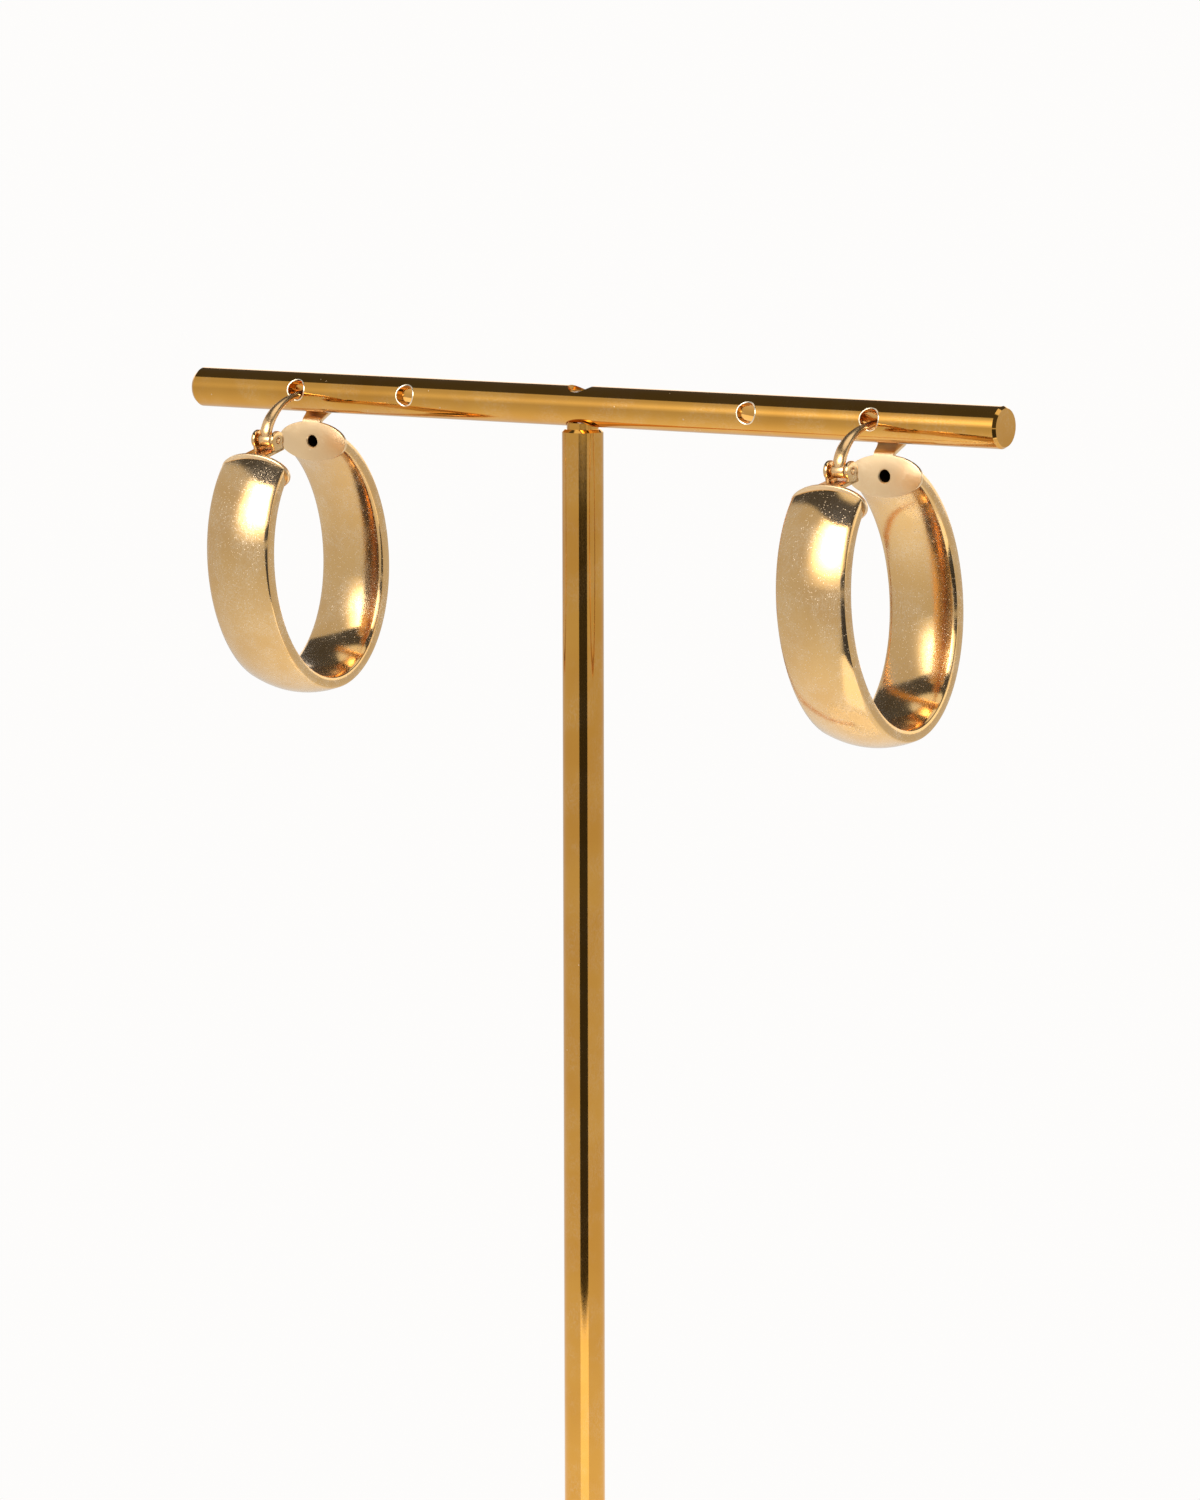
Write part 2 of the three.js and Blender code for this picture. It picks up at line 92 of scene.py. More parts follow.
WORN_SHARE = 0.35
# How much the pale specks show: dust, and painted glints of light
DUST_AND_GLINT_SHARE = 0.3
SCRATCH_DEPTH = 0.0006
SCRATCH_WIDTH = 0.035
SCRATCH_WAYS = (((0.3, 0.9, 0.2), (14.0, 1.0, 1.0)), ((1.1, 0.2, 1.4), (1.0, 11.0, 1.2)))
PATCH_SCALE = 260.0
HAZE_ROUGHNESS = 0.38


class Side(Enum):
    """Which earring of the pair."""

    LEFT = "left"
    RIGHT = "right"


class End(Enum):
    """Which end of the band: the hinge's or the catch's."""

    HINGE = -1
    CATCH = 1


class Axis(Enum):
    """What a round piece is turned about, as the order in which (across, up, along) make x, y and z."""

    X = (2, 0, 1)
    Y = (0, 2, 1)
    Z = (0, 1, 2)


# Small geometry helpers

def lerp(a: float, b: float, t: float) -> float:
    """The value a share t of the way from a to b."""
    return a + (b - a) * t


def smoothstep(low: float, high: float, value: float) -> float:
    """A soft step from 0 at low to 1 at high."""
    t = min(1.0, max(0.0, (value - low) / (high - low)))
    return t * t * (3 - 2 * t)


def ring(count: int, half_width: float, half_height: float) -> Pairs:
    """An ellipse's points as (x, y), counted from +x towards +y."""
    turn = 2 * pi / count
    return [(half_width * cos(i * turn), half_height * sin(i * turn)) for i in range(count)]


def turned(profile: Pairs, sides: int, axis: Axis = Axis.Z) -> Rings:
    """Circles round an axis.

    Args:
        profile: each circle's radius and its place along the axis.
        sides: how many points each circle has.
        axis: the axis that they are turned about.

    Returns:
        The circles, in the profile's order.
    """
    circle = ring(sides, 1, 1)
    return [[Vector([(r * c, r * s, along)[i] for i in axis.value]) for c, s in circle]
            for r, along in profile]


def catmull(points: list[Vector], steps: int) -> list[Vector]:
    """Evenly spaced points of a centripetal spline through the given points.

    Args:
        points: the points that the curve goes through.
        steps: how many stretches the result has.

    Returns:
        steps + 1 points, equally far apart along the curve.
    """
    padded = [points[0] * 2 - points[1], *points, points[-1] * 2 - points[-2]]
    dense: list[Vector] = []
    per_stretch = 24
    for i in range(1, len(padded) - 2):
        p0, p1, p2, p3 = padded[i - 1:i + 3]
        d0, d1, d2 = (sqrt((b - a).length) for a, b in ((p0, p1), (p1, p2), (p2, p3)))
        t1 = ((p1 - p0) / d0 - (p2 - p0) / (d0 + d1) + (p2 - p1) / d1) * d1
        t2 = ((p2 - p1) / d1 - (p3 - p1) / (d1 + d2) + (p3 - p2) / d2) * d1
        for k in range(per_stretch):
            t = k / per_stretch
            dense.append(
                p1 * (2 * t ** 3 - 3 * t ** 2 + 1) + p2 * (3 * t ** 2 - 2 * t ** 3)
                + t1 * (t ** 3 - 2 * t ** 2 + t) + t2 * (t ** 3 - t ** 2))
    dense.append(points[-1].copy())
    reach = [0.0]
    for a, b in zip(dense, dense[1:]):
        reach.append(reach[-1] + (b - a).length)
    result, j = [], 0
    for i in range(steps + 1):
        want = reach[-1] * i / steps
        while j + 2 < len(reach) and reach[j + 1] < want:
            j += 1
        share = (want - reach[j]) / max(reach[j + 1] - reach[j], 1e-9)
        result.append(dense[j].lerp(dense[j + 1], min(1.0, share)))
    return result


def frame_of(x: Vector, y: Vector, z: Vector, origin: Vector) -> Matrix:
    """A matrix from three axes and an origin."""
    frame = Matrix((x, y, z)).transposed().to_4x4()
    frame.translation = origin
    return frame


@dataclass
class Shell:
    """A mesh under construction: points in millimetres, and faces."""

    points: list[Vector] = field(default_factory=list)
    faces: list[tuple[int, ...]] = field(default_factory=list)

    def loft(self, rings: Rings, around: bool = False) -> "Shell":
        """Adds a skin over closed rings that all have as many points.

        Args:
            rings: the rings, in order along the piece.
            around: whether the last ring joins the first, as a washer's, and the ends are not filled.

        Returns:
            The shell itself.
        """
        first, count, total = len(self.points), len(rings[0]), len(rings)
        for points in rings:
            self.points.extend(points)
        for i in range(total if around else total - 1):
            a0, b0 = first + i * count, first + (i + 1) % total * count
            for j in range(count):
                k = (j + 1) % count
                self.faces.append((a0 + j, a0 + k, b0 + k, b0 + j))
        if not around:
            last = first + (total - 1) * count
            self.faces.append(tuple(first + j for j in reversed(range(count))))
            self.faces.append(tuple(last + j for j in range(count)))
        return self


def linked(name: str, data: ID) -> Object:
    """A new object of some data, put into the scene."""
    item = bpy.data.objects.new(name, data)
    bpy.context.collection.objects.link(item)
    return item


def evaluated(item: Object) -> Mesh:
    """A plain mesh of an object with its modifiers run."""
    bpy.context.view_layer.update()
    graph = bpy.context.evaluated_depsgraph_get()
    return bpy.data.meshes.new_from_object(item.evaluated_get(graph), depsgraph=graph)


def placed(name: str, mesh: Mesh, place: Matrix, crease: float = CREASE) -> Object:
    """Makes an object of a mesh in millimetres, smooth apart from its creases.

    Args:
        name: the object's name.
        mesh: the mesh, in millimetres.
        place: from the piece's own frame to the model's frame, both in millimetres.
        crease: the angle in degrees above which an edge stays sharp.

    Returns:
        The new object at the origin, with its place put into its mesh.
    """
    mesh.transform(Matrix.Scale(MM, 4) @ place)
    work = bmesh.new()
    work.from_mesh(mesh)
    bmesh.ops.remove_doubles(work, verts=work.verts, dist=1e-7)
    bmesh.ops.recalc_face_normals(work, faces=work.faces)
    work.to_mesh(mesh)
    work.free()
    mesh.shade_smooth()
    mesh.set_sharp_from_angle(angle=radians(crease))
    return linked(name, mesh)


def as_object(name: str, shell: Shell, place: Matrix, look: Material | None = None,
              crease: float = CREASE) -> Object:
    """Makes an object of a shell.

    Args:
        name: the object's name.
        shell: the mesh's points and faces, in millimetres.
        place: from the piece's own frame to the model's frame, both in millimetres.
        look: the material, if it has one.
        crease: the angle in degrees above which an edge stays sharp.

    Returns:
        The new object, at the origin.
    """
    mesh = bpy.data.meshes.new(name)
    mesh.from_pydata(shell.points, [], shell.faces)
    if look:
        mesh.materials.append(look)
    return placed(name, mesh, place, crease)


def joined(first: Object, second: Object) -> Object:
    """Puts a second object's mesh into the first one and removes the second."""
    work = bmesh.new()
    work.from_mesh(first.data)
    work.from_mesh(second.data)
    work.to_mesh(first.data)
    work.free()
    bpy.data.objects.remove(second)
    return first


# Shader building

class Nodes:
    """Adds and links nodes in one tree."""

    def __init__(self, tree: NodeTree) -> None:
        """Keeps the tree."""
        self.tree = tree

    def fill(self, socket: NodeSocket, value: object) -> None:
        """Links an output socket to an input, or sets the input to a value."""
        if isinstance(value, NodeSocket):
            self.tree.links.new(value, socket)
        else:
            socket.default_value = value

    def add(self, kind: str, values: dict | None = None, **settings: object) -> Node:
        """Adds a node.

        Args:
            kind: the node's type name.
            values: input values, or output sockets to link, by the input's name or number.
            settings: the node's own properties.

        Returns:
            The new node.
        """
        node = self.tree.nodes.new(kind)
        for key, value in settings.items():
            setattr(node, key, value)
        for key, value in (values or {}).items():
            self.fill(node.inputs[key], value)
        return node

    def maths(self, operation: str, *values: object, clamp: bool = False) -> NodeSocket:
        """A Math node's result for numbers or sockets."""
        node = self.add("ShaderNodeMath", dict(enumerate(values)), operation=operation, use_clamp=clamp)
        return node.outputs[0]

    def times(self, first: object, *others: object) -> NodeSocket:
        """The product of numbers and sockets."""
        for value in others:
            first = self.maths("MULTIPLY", first, value)
        return first

    def plus(self, first: object, *others: object) -> NodeSocket:
        """The sum of numbers and sockets."""
        for value in others:
            first = self.maths("ADD", first, value)
        return first

    def minus(self, first: object, second: object) -> NodeSocket:
        """The first less the second."""
        return self.maths("SUBTRACT", first, second)

    def step(self, value: NodeSocket, low: float, high: float) -> NodeSocket:
        """A soft step of a value from 0 at low to 1 at high."""
        node = self.add("ShaderNodeMapRange", {"Value": value, "From Min": low, "From Max": high},
                        interpolation_type="SMOOTHSTEP")
        return node.outputs[0]

    def bell(self, value: NodeSocket, middle: float, spread: float) -> NodeSocket:
        """A bell curve of a value round a middle."""
        away = self.maths("DIVIDE", self.minus(value, middle), spread)
        return self.maths("EXPONENT", self.times(away, away, -1.0))

    def mix(self, share: object, first: object, second: object) -> NodeSocket:
        """A mixed colour, all first at share 0 and all second at share 1."""
        return self.add("ShaderNodeMix", {0: share, 6: first, 7: second}, data_type="RGBA").outputs[2]

    def where(self, kind: str = "Object") -> NodeSocket:
        """A kind of texture coordinates."""
        return self.add("ShaderNodeTexCoord").outputs[kind]

    def noise(self, where: NodeSocket, scale: object, detail: float, roughness: float = 0.5) -> NodeSocket:
        """A noise texture's value."""
        return self.add("ShaderNodeTexNoise", {
            "Vector": where, "Scale": scale, "Detail": detail, "Roughness": roughness}).outputs["Fac"]

    def seen_apart(self, kind: str, level: NodeSocket, seen_level: float) -> NodeSocket:
        """A glow of one level in light and reflections and of another to the camera itself.

        Args:
            kind: the glowing shader's type name.
            level: the strength in light and reflections.
            seen_level: the strength that the camera sees.

        Returns:
            The mixed shader.
        """
        glow = self.add(kind, {"Color": WARM_WHITE, "Strength": level})
        plain = self.add(kind, {"Color": SEEN_WHITE, "Strength": seen_level})
        seen = self.add("ShaderNodeLightPath").outputs["Is Camera Ray"]
        return self.add("ShaderNodeMixShader", {0: seen, 1: glow.outputs[0], 2: plain.outputs[0]}).outputs[0]


def new_group(name: str, inputs: dict[str, float], outputs: list[str]) -> tuple[Nodes, Node]:
    """Starts a shader node group with number sockets.

    Args:
        name: the group's name.
        inputs: each input's name and default.
        outputs: the outputs' names.

    Returns:
        A builder for the group's nodes, and its input node.
    """
    group = bpy.data.node_groups.new(name, "ShaderNodeTree")
    for key, default in inputs.items():
        socket = group.interface.new_socket(name=key, in_out="INPUT", socket_type="NodeSocketFloat")
        socket.default_value = default
    for key in outputs:
        group.interface.new_socket(name=key, in_out="OUTPUT", socket_type="NodeSocketFloat")
    nodes = Nodes(group)
    return nodes, nodes.add("NodeGroupInput")


def fine_scratches() -> NodeTree:
    """A group that puts out thin polishing scratches in two directions, as a mask."""
    nodes, source = new_group("Fine scratches", {"Scale": 900.0, "Amount": 0.5}, ["Mask"])
    where = nodes.where()
    marks = []
    for turn, stretch in SCRATCH_WAYS:
        mapped = nodes.add("ShaderNodeMapping", {"Vector": where, "Rotation": turn, "Scale": stretch})
        noise = nodes.noise(mapped.outputs[0], source.outputs["Scale"], 3.0, 0.6)
        ridge = nodes.maths("ABSOLUTE", nodes.minus(noise, 0.5))
        marks.append(nodes.minus(1.0, nodes.step(ridge, 0.0, SCRATCH_WIDTH)))
    patch = nodes.step(nodes.noise(where, PATCH_SCALE, 2.0), 0.38, 0.62)
    shown = nodes.times(nodes.maths("MAXIMUM", *marks), patch)
    result = nodes.maths("MULTIPLY", shown, source.outputs["Amount"], clamp=True)
    nodes.add("NodeGroupOutput", {"Mask": result})
    return nodes.tree


def dust_and_glint_specks() -> NodeTree:
    """A group that puts out scattered pale specks as a mask: dust, and painted glints of light."""
    nodes, source = new_group("Dust specks", {"Scale": 1100.0, "Share": 0.08, "Size": 0.11}, ["Mask"])
    cells = nodes.add("ShaderNodeTexVoronoi", {"Vector": nodes.where(), "Scale": source.outputs["Scale"]})
    chance = nodes.add("ShaderNodeSeparateColor", {"Color": cells.outputs["Color"]}).outputs[0]
    chosen = nodes.maths("LESS_THAN", chance, source.outputs["Share"])
    near = nodes.maths("LESS_THAN", cells.outputs["Distance"], source.outputs["Size"])
    nodes.add("NodeGroupOutput", {"Mask": nodes.times(chosen, near)})
    return nodes.tree


def cloudy() -> NodeTree:
    """A group that puts out slow unevenness and fine grain."""
    nodes, source = new_group("Cast unevenness", {"Scale": 120.0, "Grain": 4200.0}, ["Slow", "Grain"])
    where = nodes.where()
    slow = nodes.noise(where, source.outputs["Scale"], 2.0)
    grain = nodes.noise(where, source.outputs["Grain"], 4.0, 0.65)
    nodes.add("NodeGroupOutput", {"Slow": slow, "Grain": grain})
    return nodes.tree


@dataclass(frozen=True)
class Finish:
    """How one kind of surface looks; the depths are in millimetres."""

    name: str
    colour: tuple[float, float, float]
    shade: tuple[float, float, float]
    roughness: float
    roughness_spread: float
    scratches: float = 0.0
    specks: float = 0.0
    grain_depth: float = 0.0
    wave_depth: float = 0.0
    speck_share: float = 0.06
    speck_scale: float = 1100.0
    speck_size: float = 0.11
    metallic: float = 1.0
    haze: float = 0.0


STAND_GOLD = Finish("stand_gold", (0.71, 0.37, 0.075), (0.66, 0.325, 0.06), 0.07, 0.03,
                    scratches=0.35, specks=0.8, grain_depth=0.0004, wave_depth=0.003)
# The hoops' dense pale specks are painted glints of light as well as dust
HOOP_GOLD = Finish("hoop_gold", (0.76, 0.475, 0.18), (0.70, 0.42, 0.15), 0.09, 0.06,
                   scratches=1.0, specks=1.0, grain_depth=0.0050, wave_depth=0.012, haze=0.72,
                   speck_share=0.30, speck_scale=4000.0, speck_size=0.28)
PLATE_GOLD = Finish("plate_gold", (0.92, 0.68, 0.40), (0.84, 0.59, 0.32), 0.36, 0.12,
                    scratches=0.6, specks=0.6, grain_depth=0.0080, haze=0.4)
RIM_GOLD = Finish("rim_gold", (0.97, 0.84, 0.62), (0.95, 0.78, 0.52), 0.22, 0.05, haze=1.0)
WIRE_GOLD = Finish("wire_gold", (0.90, 0.58, 0.26), (0.84, 0.50, 0.20), 0.26, 0.05,
                   scratches=0.6, grain_depth=0.0012, haze=0.6)
SCREW_STEEL = Finish("screw_steel", (0.80, 0.78, 0.74), (0.66, 0.63, 0.58), 0.34, 0.10,
                     scratches=0.8, specks=0.4, grain_depth=0.002)
BASE_WHITE = Finish("base_white", (0.86, 0.84, 0.80), (0.84, 0.82, 0.78), 0.32, 0.05,
                    specks=0.2, grain_depth=0.0012, metallic=0.0)
VENT_SHADE = Finish("vent_shade", (0.05, 0.025, 0.012), (0.03, 0.015, 0.008), 0.7, 0.1)


# Geometry Nodes: a section carried along a path

def sweep_tree() -> NodeTree:
    """A tree that carries a section along the object's own edge path and widens it across the path.

    Returns:
        The tree, with inputs for the section, the filling of the ends and the material.
    """
    tree = bpy.data.node_groups.new("Section along a path", "GeometryNodeTree")
    for name, way, kind in (("Geometry", "INPUT", "Geometry"), ("Section", "INPUT", "Object"),
                            ("Fill Ends", "INPUT", "Bool"), ("Material", "INPUT", "Material"),
                            ("Geometry", "OUTPUT", "Geometry")):
        tree.interface.new_socket(name=name, in_out=way, socket_type=f"NodeSocket{kind}")
    nodes = Nodes(tree)
    source = nodes.add("NodeGroupInput").outputs
    path = nodes.add("GeometryNodeMeshToCurve", {"Mesh": source["Geometry"]})
    size = nodes.add("GeometryNodeInputNamedAttribute", {"Name": "size"}, data_type="FLOAT")
    shape = nodes.add("GeometryNodeObjectInfo", {"Object": source["Section"]})
    outline = nodes.add("GeometryNodeMeshToCurve", {"Mesh": shape.outputs["Geometry"]})
    swept = nodes.add("GeometryNodeCurveToMesh", {
        "Curve": path.outputs[0], "Profile Curve": outline.outputs[0], "Scale": size.outputs[0],
        "Fill Caps": source["Fill Ends"]})
    spread = nodes.add("GeometryNodeInputNamedAttribute", {"Name": "spread"}, data_type="FLOAT")
    place = nodes.add("GeometryNodeInputPosition")
    x, y, z = nodes.add("ShaderNodeSeparateXYZ", {"Vector": place.outputs[0]}).outputs
    moved = nodes.add("ShaderNodeCombineXYZ", {"X": nodes.times(x, spread.outputs[0]), "Y": y, "Z": z})
    widened = nodes.add("GeometryNodeSetPosition", {
        "Geometry": swept.outputs[0], "Position": moved.outputs[0]})
    real = nodes.add("GeometryNodeRealizeInstances", {"Geometry": widened.outputs[0]})
    dressed = nodes.add("GeometryNodeSetMaterial", {
        "Geometry": real.outputs[0], "Material": source["Material"]})
    nodes.add("NodeGroupOutput", {"Geometry": dressed.outputs[0]})
    return tree


@dataclass
class Sweeper:
    """Runs the sweep tree on a path and gives back a plain mesh."""

    tree: NodeTree = field(default_factory=sweep_tree)

    def run(self, name: str, paths: Rings, section: Pairs, material: Material,
            sizes: list[float] | None = None, spreads: list[float] | None = None,
            closed: bool = False) -> Mesh:
        """Carries a closed section along one or more paths.

        Args:
            name: the new mesh's name.
            paths: the paths' points, in millimetres.
            section: the section's points, in millimetres.
            material: the material that the faces get.
            sizes: the section's scale at each path point, or 1 everywhere.
            spreads: how much x is stretched at each path point, or 1 everywhere.
            closed: whether each path comes back to its start.

        Returns:
            The mesh in millimetres, in the paths' own frame.
        """
        points, edges = [], []
        for path in paths:
            first = len(points)
            points.extend(path)
            edges.extend((first + i, first + i + 1) for i in range(len(path) - 1))
            if closed:
                edges.append((first + len(path) - 1, first))
        rail = bpy.data.meshes.new(f"{name}_path")
        rail.from_pydata(points, edges, [])
        for key, values in (("size", sizes), ("spread", spreads)):
            data = rail.attributes.new(key, "FLOAT", "POINT").data
            data.foreach_set("value", values or [1.0] * len(points))
        outline = bpy.data.meshes.new(f"{name}_section")
        count = len(section)
        outline.from_pydata([(x, y, 0) for x, y in section], [(i, (i + 1) % count) for i in range(count)], [])
        shape, carrier = linked(outline.name, outline), linked(rail.name, rail)
        sweep = carrier.modifiers.new("Sweep", "NODES")
        sweep.node_group = self.tree
        sockets = {s.name: s.identifier for s in self.tree.interface.items_tree if s.in_out == "INPUT"}
        sweep[sockets["Section"]] = shape
        sweep[sockets["Fill Ends"]] = not closed
        sweep[sockets["Material"]] = material
        mesh = evaluated(carrier)
        mesh.name = name
        carrier.modifiers.remove(sweep)
        for item in (carrier, shape):
            bpy.data.objects.remove(item)
        return mesh


class Workshop:
    """Makes each finish's material once, from the shared groups, and lends out the sweeper."""

    def __init__(self) -> None:
        """Builds the shared groups."""
        self.scratches, self.specks, self.cloudy = fine_scratches(), dust_and_glint_specks(), cloudy()
        self.sweeper = Sweeper()
        self.made: dict[str, Material] = {}

    def metal(self, finish: Finish) -> Material:
        """The material of a finish.

        Args:
            finish: the colours, gloss and marks.

        Returns:
            The material, made on the first call.
        """
        if finish.name in self.made:
            return self.made[finish.name]
        material = bpy.data.materials.new(finish.name)
        material.use_nodes = True
        nodes = Nodes(material.node_tree)
        uneven = nodes.add("ShaderNodeGroup", node_tree=self.cloudy).outputs
        scratched = nodes.add("ShaderNodeGroup", {"Amount": finish.scratches}, node_tree=self.scratches)
        # Pale specks, partly dust and partly painted glints of light, tint the colour and add roughness
        speckled = nodes.add("ShaderNodeGroup", {
            "Share": finish.speck_share * finish.specks, "Scale": finish.speck_scale,
            "Size": finish.speck_size}, node_tree=self.specks)
        marks, dust_and_glints = scratched.outputs["Mask"], nodes.times(speckled.outputs["Mask"], DUST_AND_GLINT_SHARE)
        tone = nodes.mix(nodes.step(uneven["Slow"], 0.3, 0.7), (*finish.shade, 1), (*finish.colour, 1))
        worn = nodes.mix(nodes.times(marks, WORN_SHARE), tone, WORN_COLOUR)
        spread = finish.roughness_spread * 2
        rough = nodes.plus(nodes.times(nodes.minus(uneven["Grain"], 0.5), spread), finish.roughness,
                           nodes.times(marks, spread))
        height = nodes.plus(nodes.times(uneven["Grain"], finish.grain_depth),
                            nodes.times(uneven["Slow"], finish.wave_depth))
        cut = nodes.minus(height, nodes.times(marks, SCRATCH_DEPTH))
        bump = nodes.add("ShaderNodeBump", {"Strength": 1.0, "Distance": MM, "Height": cut})
        shader = material.node_tree.nodes["Principled BSDF"]
        for key, value in {
                "Base Color": nodes.mix(dust_and_glints, worn, DUST_AND_GLINT_COLOUR),
                "Roughness": nodes.maths("ADD", rough, dust_and_glints, clamp=True), "Normal": bump.outputs[0],
                "Metallic": finish.metallic, "Coat Weight": finish.haze,
                "Coat Roughness": HAZE_ROUGHNESS}.items():
            nodes.fill(shader.inputs[key], value)
        self.made[finish.name] = material
        return material


# The stand

@dataclass
class Crossbar:
    """The round bar with its four earring holes and the stepped hole for the screw."""

    diameter: float = 5.0
    length: float = 119.4
    chamfer_along: float = 0.4
    chamfer_deep: float = 0.25
    inner_hole: float = 25.4
    hole: float = 2.65
    hole_rise: float = 10.0
    rim_bead: float = 0.2
    rim_sunk: float = 0.04
    neck: float = 4.1
    neck_depth: float = 0.6
    head: float = 3.6
    head_depth: float = 2.05
    shank: float = 2.0
    sides: int = 192
    stretches: int = 40
    hole_sides: int = 64
    rim_sides: int = 56
    bead_sides: int = 8
    round_within: float = 0.004
    round_normal: float = 0.99

    def holes(self) -> tuple[float, ...]:
        """Where the earring holes are along the bar."""
        return -OUTER_HOLE, -self.inner_hole, self.inner_hole, OUTER_HOLE

    def rod(self) -> Object:
        """The plain rod with chamfered ends."""
        radius, half = self.diameter / 2, self.length / 2
        full, end = half - self.chamfer_along, radius - self.chamfer_deep
        inner = [(radius, lerp(-full, full, k / self.stretches)) for k in range(self.stretches + 1)]
        profile = [(end, -half), *inner, (end, half)]
        return as_object("crossbar_rod", Shell().loft(turned(profile, self.sides, Axis.X)), Matrix())

    def cutters(self) -> list[Object]:
        """Rods for the holes that go through the bar."""
        radius, reach = self.diameter / 2, self.diameter
        lean = Matrix.Rotation(-radians(self.hole_rise), 4, "X")
        rods = [(self.hole, -reach, reach, Axis.Y, Matrix.Translation((x, 0, 0)) @ lean)
                for x in self.holes()]
        rods += [(size, low, high, Axis.Z, Matrix()) for size, low, high in (
            (self.head, radius - self.head_depth, reach), (self.shank, -reach, reach),
            (self.neck, -reach, -radius + self.neck_depth))]
        made = []
        for i, (size, low, high, axis, place) in enumerate(rods):
            rings = turned([(size / 2, low), (size / 2, high)], self.hole_sides, axis)
            made.append(as_object(f"cutter_{i}", Shell().loft(rings), place))
        return made

    def build(self, shop: Workshop) -> Object:
        """The bar with its holes cut, its round face exactly round."""
        rod, cutters = self.rod(), self.cutters()
        for cutter in cutters:
            cut = rod.modifiers.new(cutter.name, "BOOLEAN")
            cut.operation, cut.solver, cut.object = "DIFFERENCE", "EXACT", cutter
        mesh = evaluated(rod)
        mesh.materials.clear()
        mesh.materials.append(shop.metal(STAND_GOLD))
        for item in (*cutters, rod):
            bpy.data.objects.remove(item)
        mesh.shade_smooth()
        mesh.set_sharp_from_angle(angle=radians(TURNED_CREASE))
        self.round_normals(mesh)
        mesh.transform(Matrix.Translation((0, 0, BAR_HEIGHT * MM)))
        return linked("dressed_crossbar", mesh)

    def round_normals(self, mesh: Mesh) -> None:
        """Gives the round face the normals of a true cylinder.

        Args:
            mesh: the cut bar, in metres round its own axis.
        """
        radius = self.diameter / 2 * MM
        normals = [Vector(n.vector) for n in mesh.corner_normals]
        for face in mesh.polygons:
            corners = [mesh.vertices[v].co for v in face.vertices]
            on_round = all(abs(hypot(c.y, c.z) - radius) < radius * self.round_within for c in corners)
            if on_round and hypot(face.normal.y, face.normal.z) > self.round_normal:
                for loop in face.loop_indices:
                    c = mesh.vertices[mesh.loops[loop].vertex_index].co
                    normals[loop] = Vector((0, c.y, c.z)).normalized()
        mesh.normals_split_custom_set(normals)

    def rims(self, shop: Workshop) -> Object:
        """A fine bead round the mouths of the earring holes, as one piece."""
        name, r, bead = "crossbar_hole_rims", self.hole / 2, self.rim_bead / 2
        paths = [[Vector((x + across, *self.mouth(up, way))) for across, up in ring(self.rim_sides, r, r)]
                 for x in self.holes() for way in (-1, 1)]
        mesh = shop.sweeper.run(name, paths, ring(self.bead_sides, bead, bead), shop.metal(RIM_GOLD),
                                closed=True)
        return placed(name, mesh, Matrix.Translation((0, 0, BAR_HEIGHT)))

    def mouth(self, up: float, way: int) -> tuple[float, float]:
        """Where the wall of a hole comes out of the bar.

        Args:
            up: how far above the hole's axis.
            way: -1 towards the front and 1 towards the back.

        Returns:
            The point as (y, z), sunk a little into the bar's surface.
        """
        lean, radius = radians(self.hole_rise), self.diameter / 2 - self.rim_sunk
        y, z = up * sin(lean), up * cos(lean)
        dy, dz = way * cos(lean), -way * sin(lean)
        b = y * dy + z * dz
        reach = -b + sqrt(b * b - (y * y + z * z - radius * radius))
        return y + reach * dy, z + reach * dz


@dataclass
class Post:
    """The upright rod with a chamfered shoulder and a neck that enters the bar."""

    diameter: float = 5.08
    foot: float = 2.1
    shoulder: float = 157.2
    chamfer: float = 0.35
    neck: float = 3.9
    neck_top: float = 158.0
    sides: int = 128
    stretches: int = 30

    def build(self, shop: Workshop) -> Object:
        """The turned post."""
        r, n, top = self.diameter / 2, self.neck / 2, self.shoulder - self.chamfer
        profile = [(r, lerp(self.foot, top, k / self.stretches)) for k in range(self.stretches + 1)]
        profile += [(r - self.chamfer, self.shoulder), (n, self.shoulder), (n, self.neck_top)]
        shell = Shell().loft(turned(profile, self.sides))
        return as_object("dressed_post", shell, Matrix(), shop.metal(STAND_GOLD), TURNED_CREASE)


@dataclass
class BarScrew:
    """The recessed screw with a six-sided socket."""

    head: float = 3.4
    head_height: float = 1.2
    top: float = 161.75
    bevel: float = 0.18
    socket: float = 1.6
    socket_depth: float = 0.7
    shank: float = 1.8
    foot: float = 151.55
    sides: int = 48

    def socket_ring(self, z: float) -> list[Vector]:
        """The six-sided socket's outline at a height."""
        points, half_side = [], pi / 6
        for i in range(self.sides):
            turn = 2 * pi * i / self.sides
            within = (turn + half_side) % (2 * half_side) - half_side
            reach = self.socket / 2 * cos(half_side) / cos(within)
            points.append(Vector((reach * cos(turn), reach * sin(turn), z)))
        return points

    def build(self, shop: Workshop) -> Object:
        """The screw, from its foot up and down into its socket."""
        under, r, shank = self.top - self.head_height, self.head / 2, self.shank / 2
        profile = [(shank, self.foot), (shank, under), (r, under), (r, self.top - self.bevel),
                   (r - self.bevel, self.top)]
        rings = turned(profile, self.sides)
        rings += [self.socket_ring(self.top), self.socket_ring(self.top - self.socket_depth)]
        return as_object("dressed_bar_screw", Shell().loft(rings), Matrix(), shop.metal(SCREW_STEEL),
                         TURNED_CREASE)


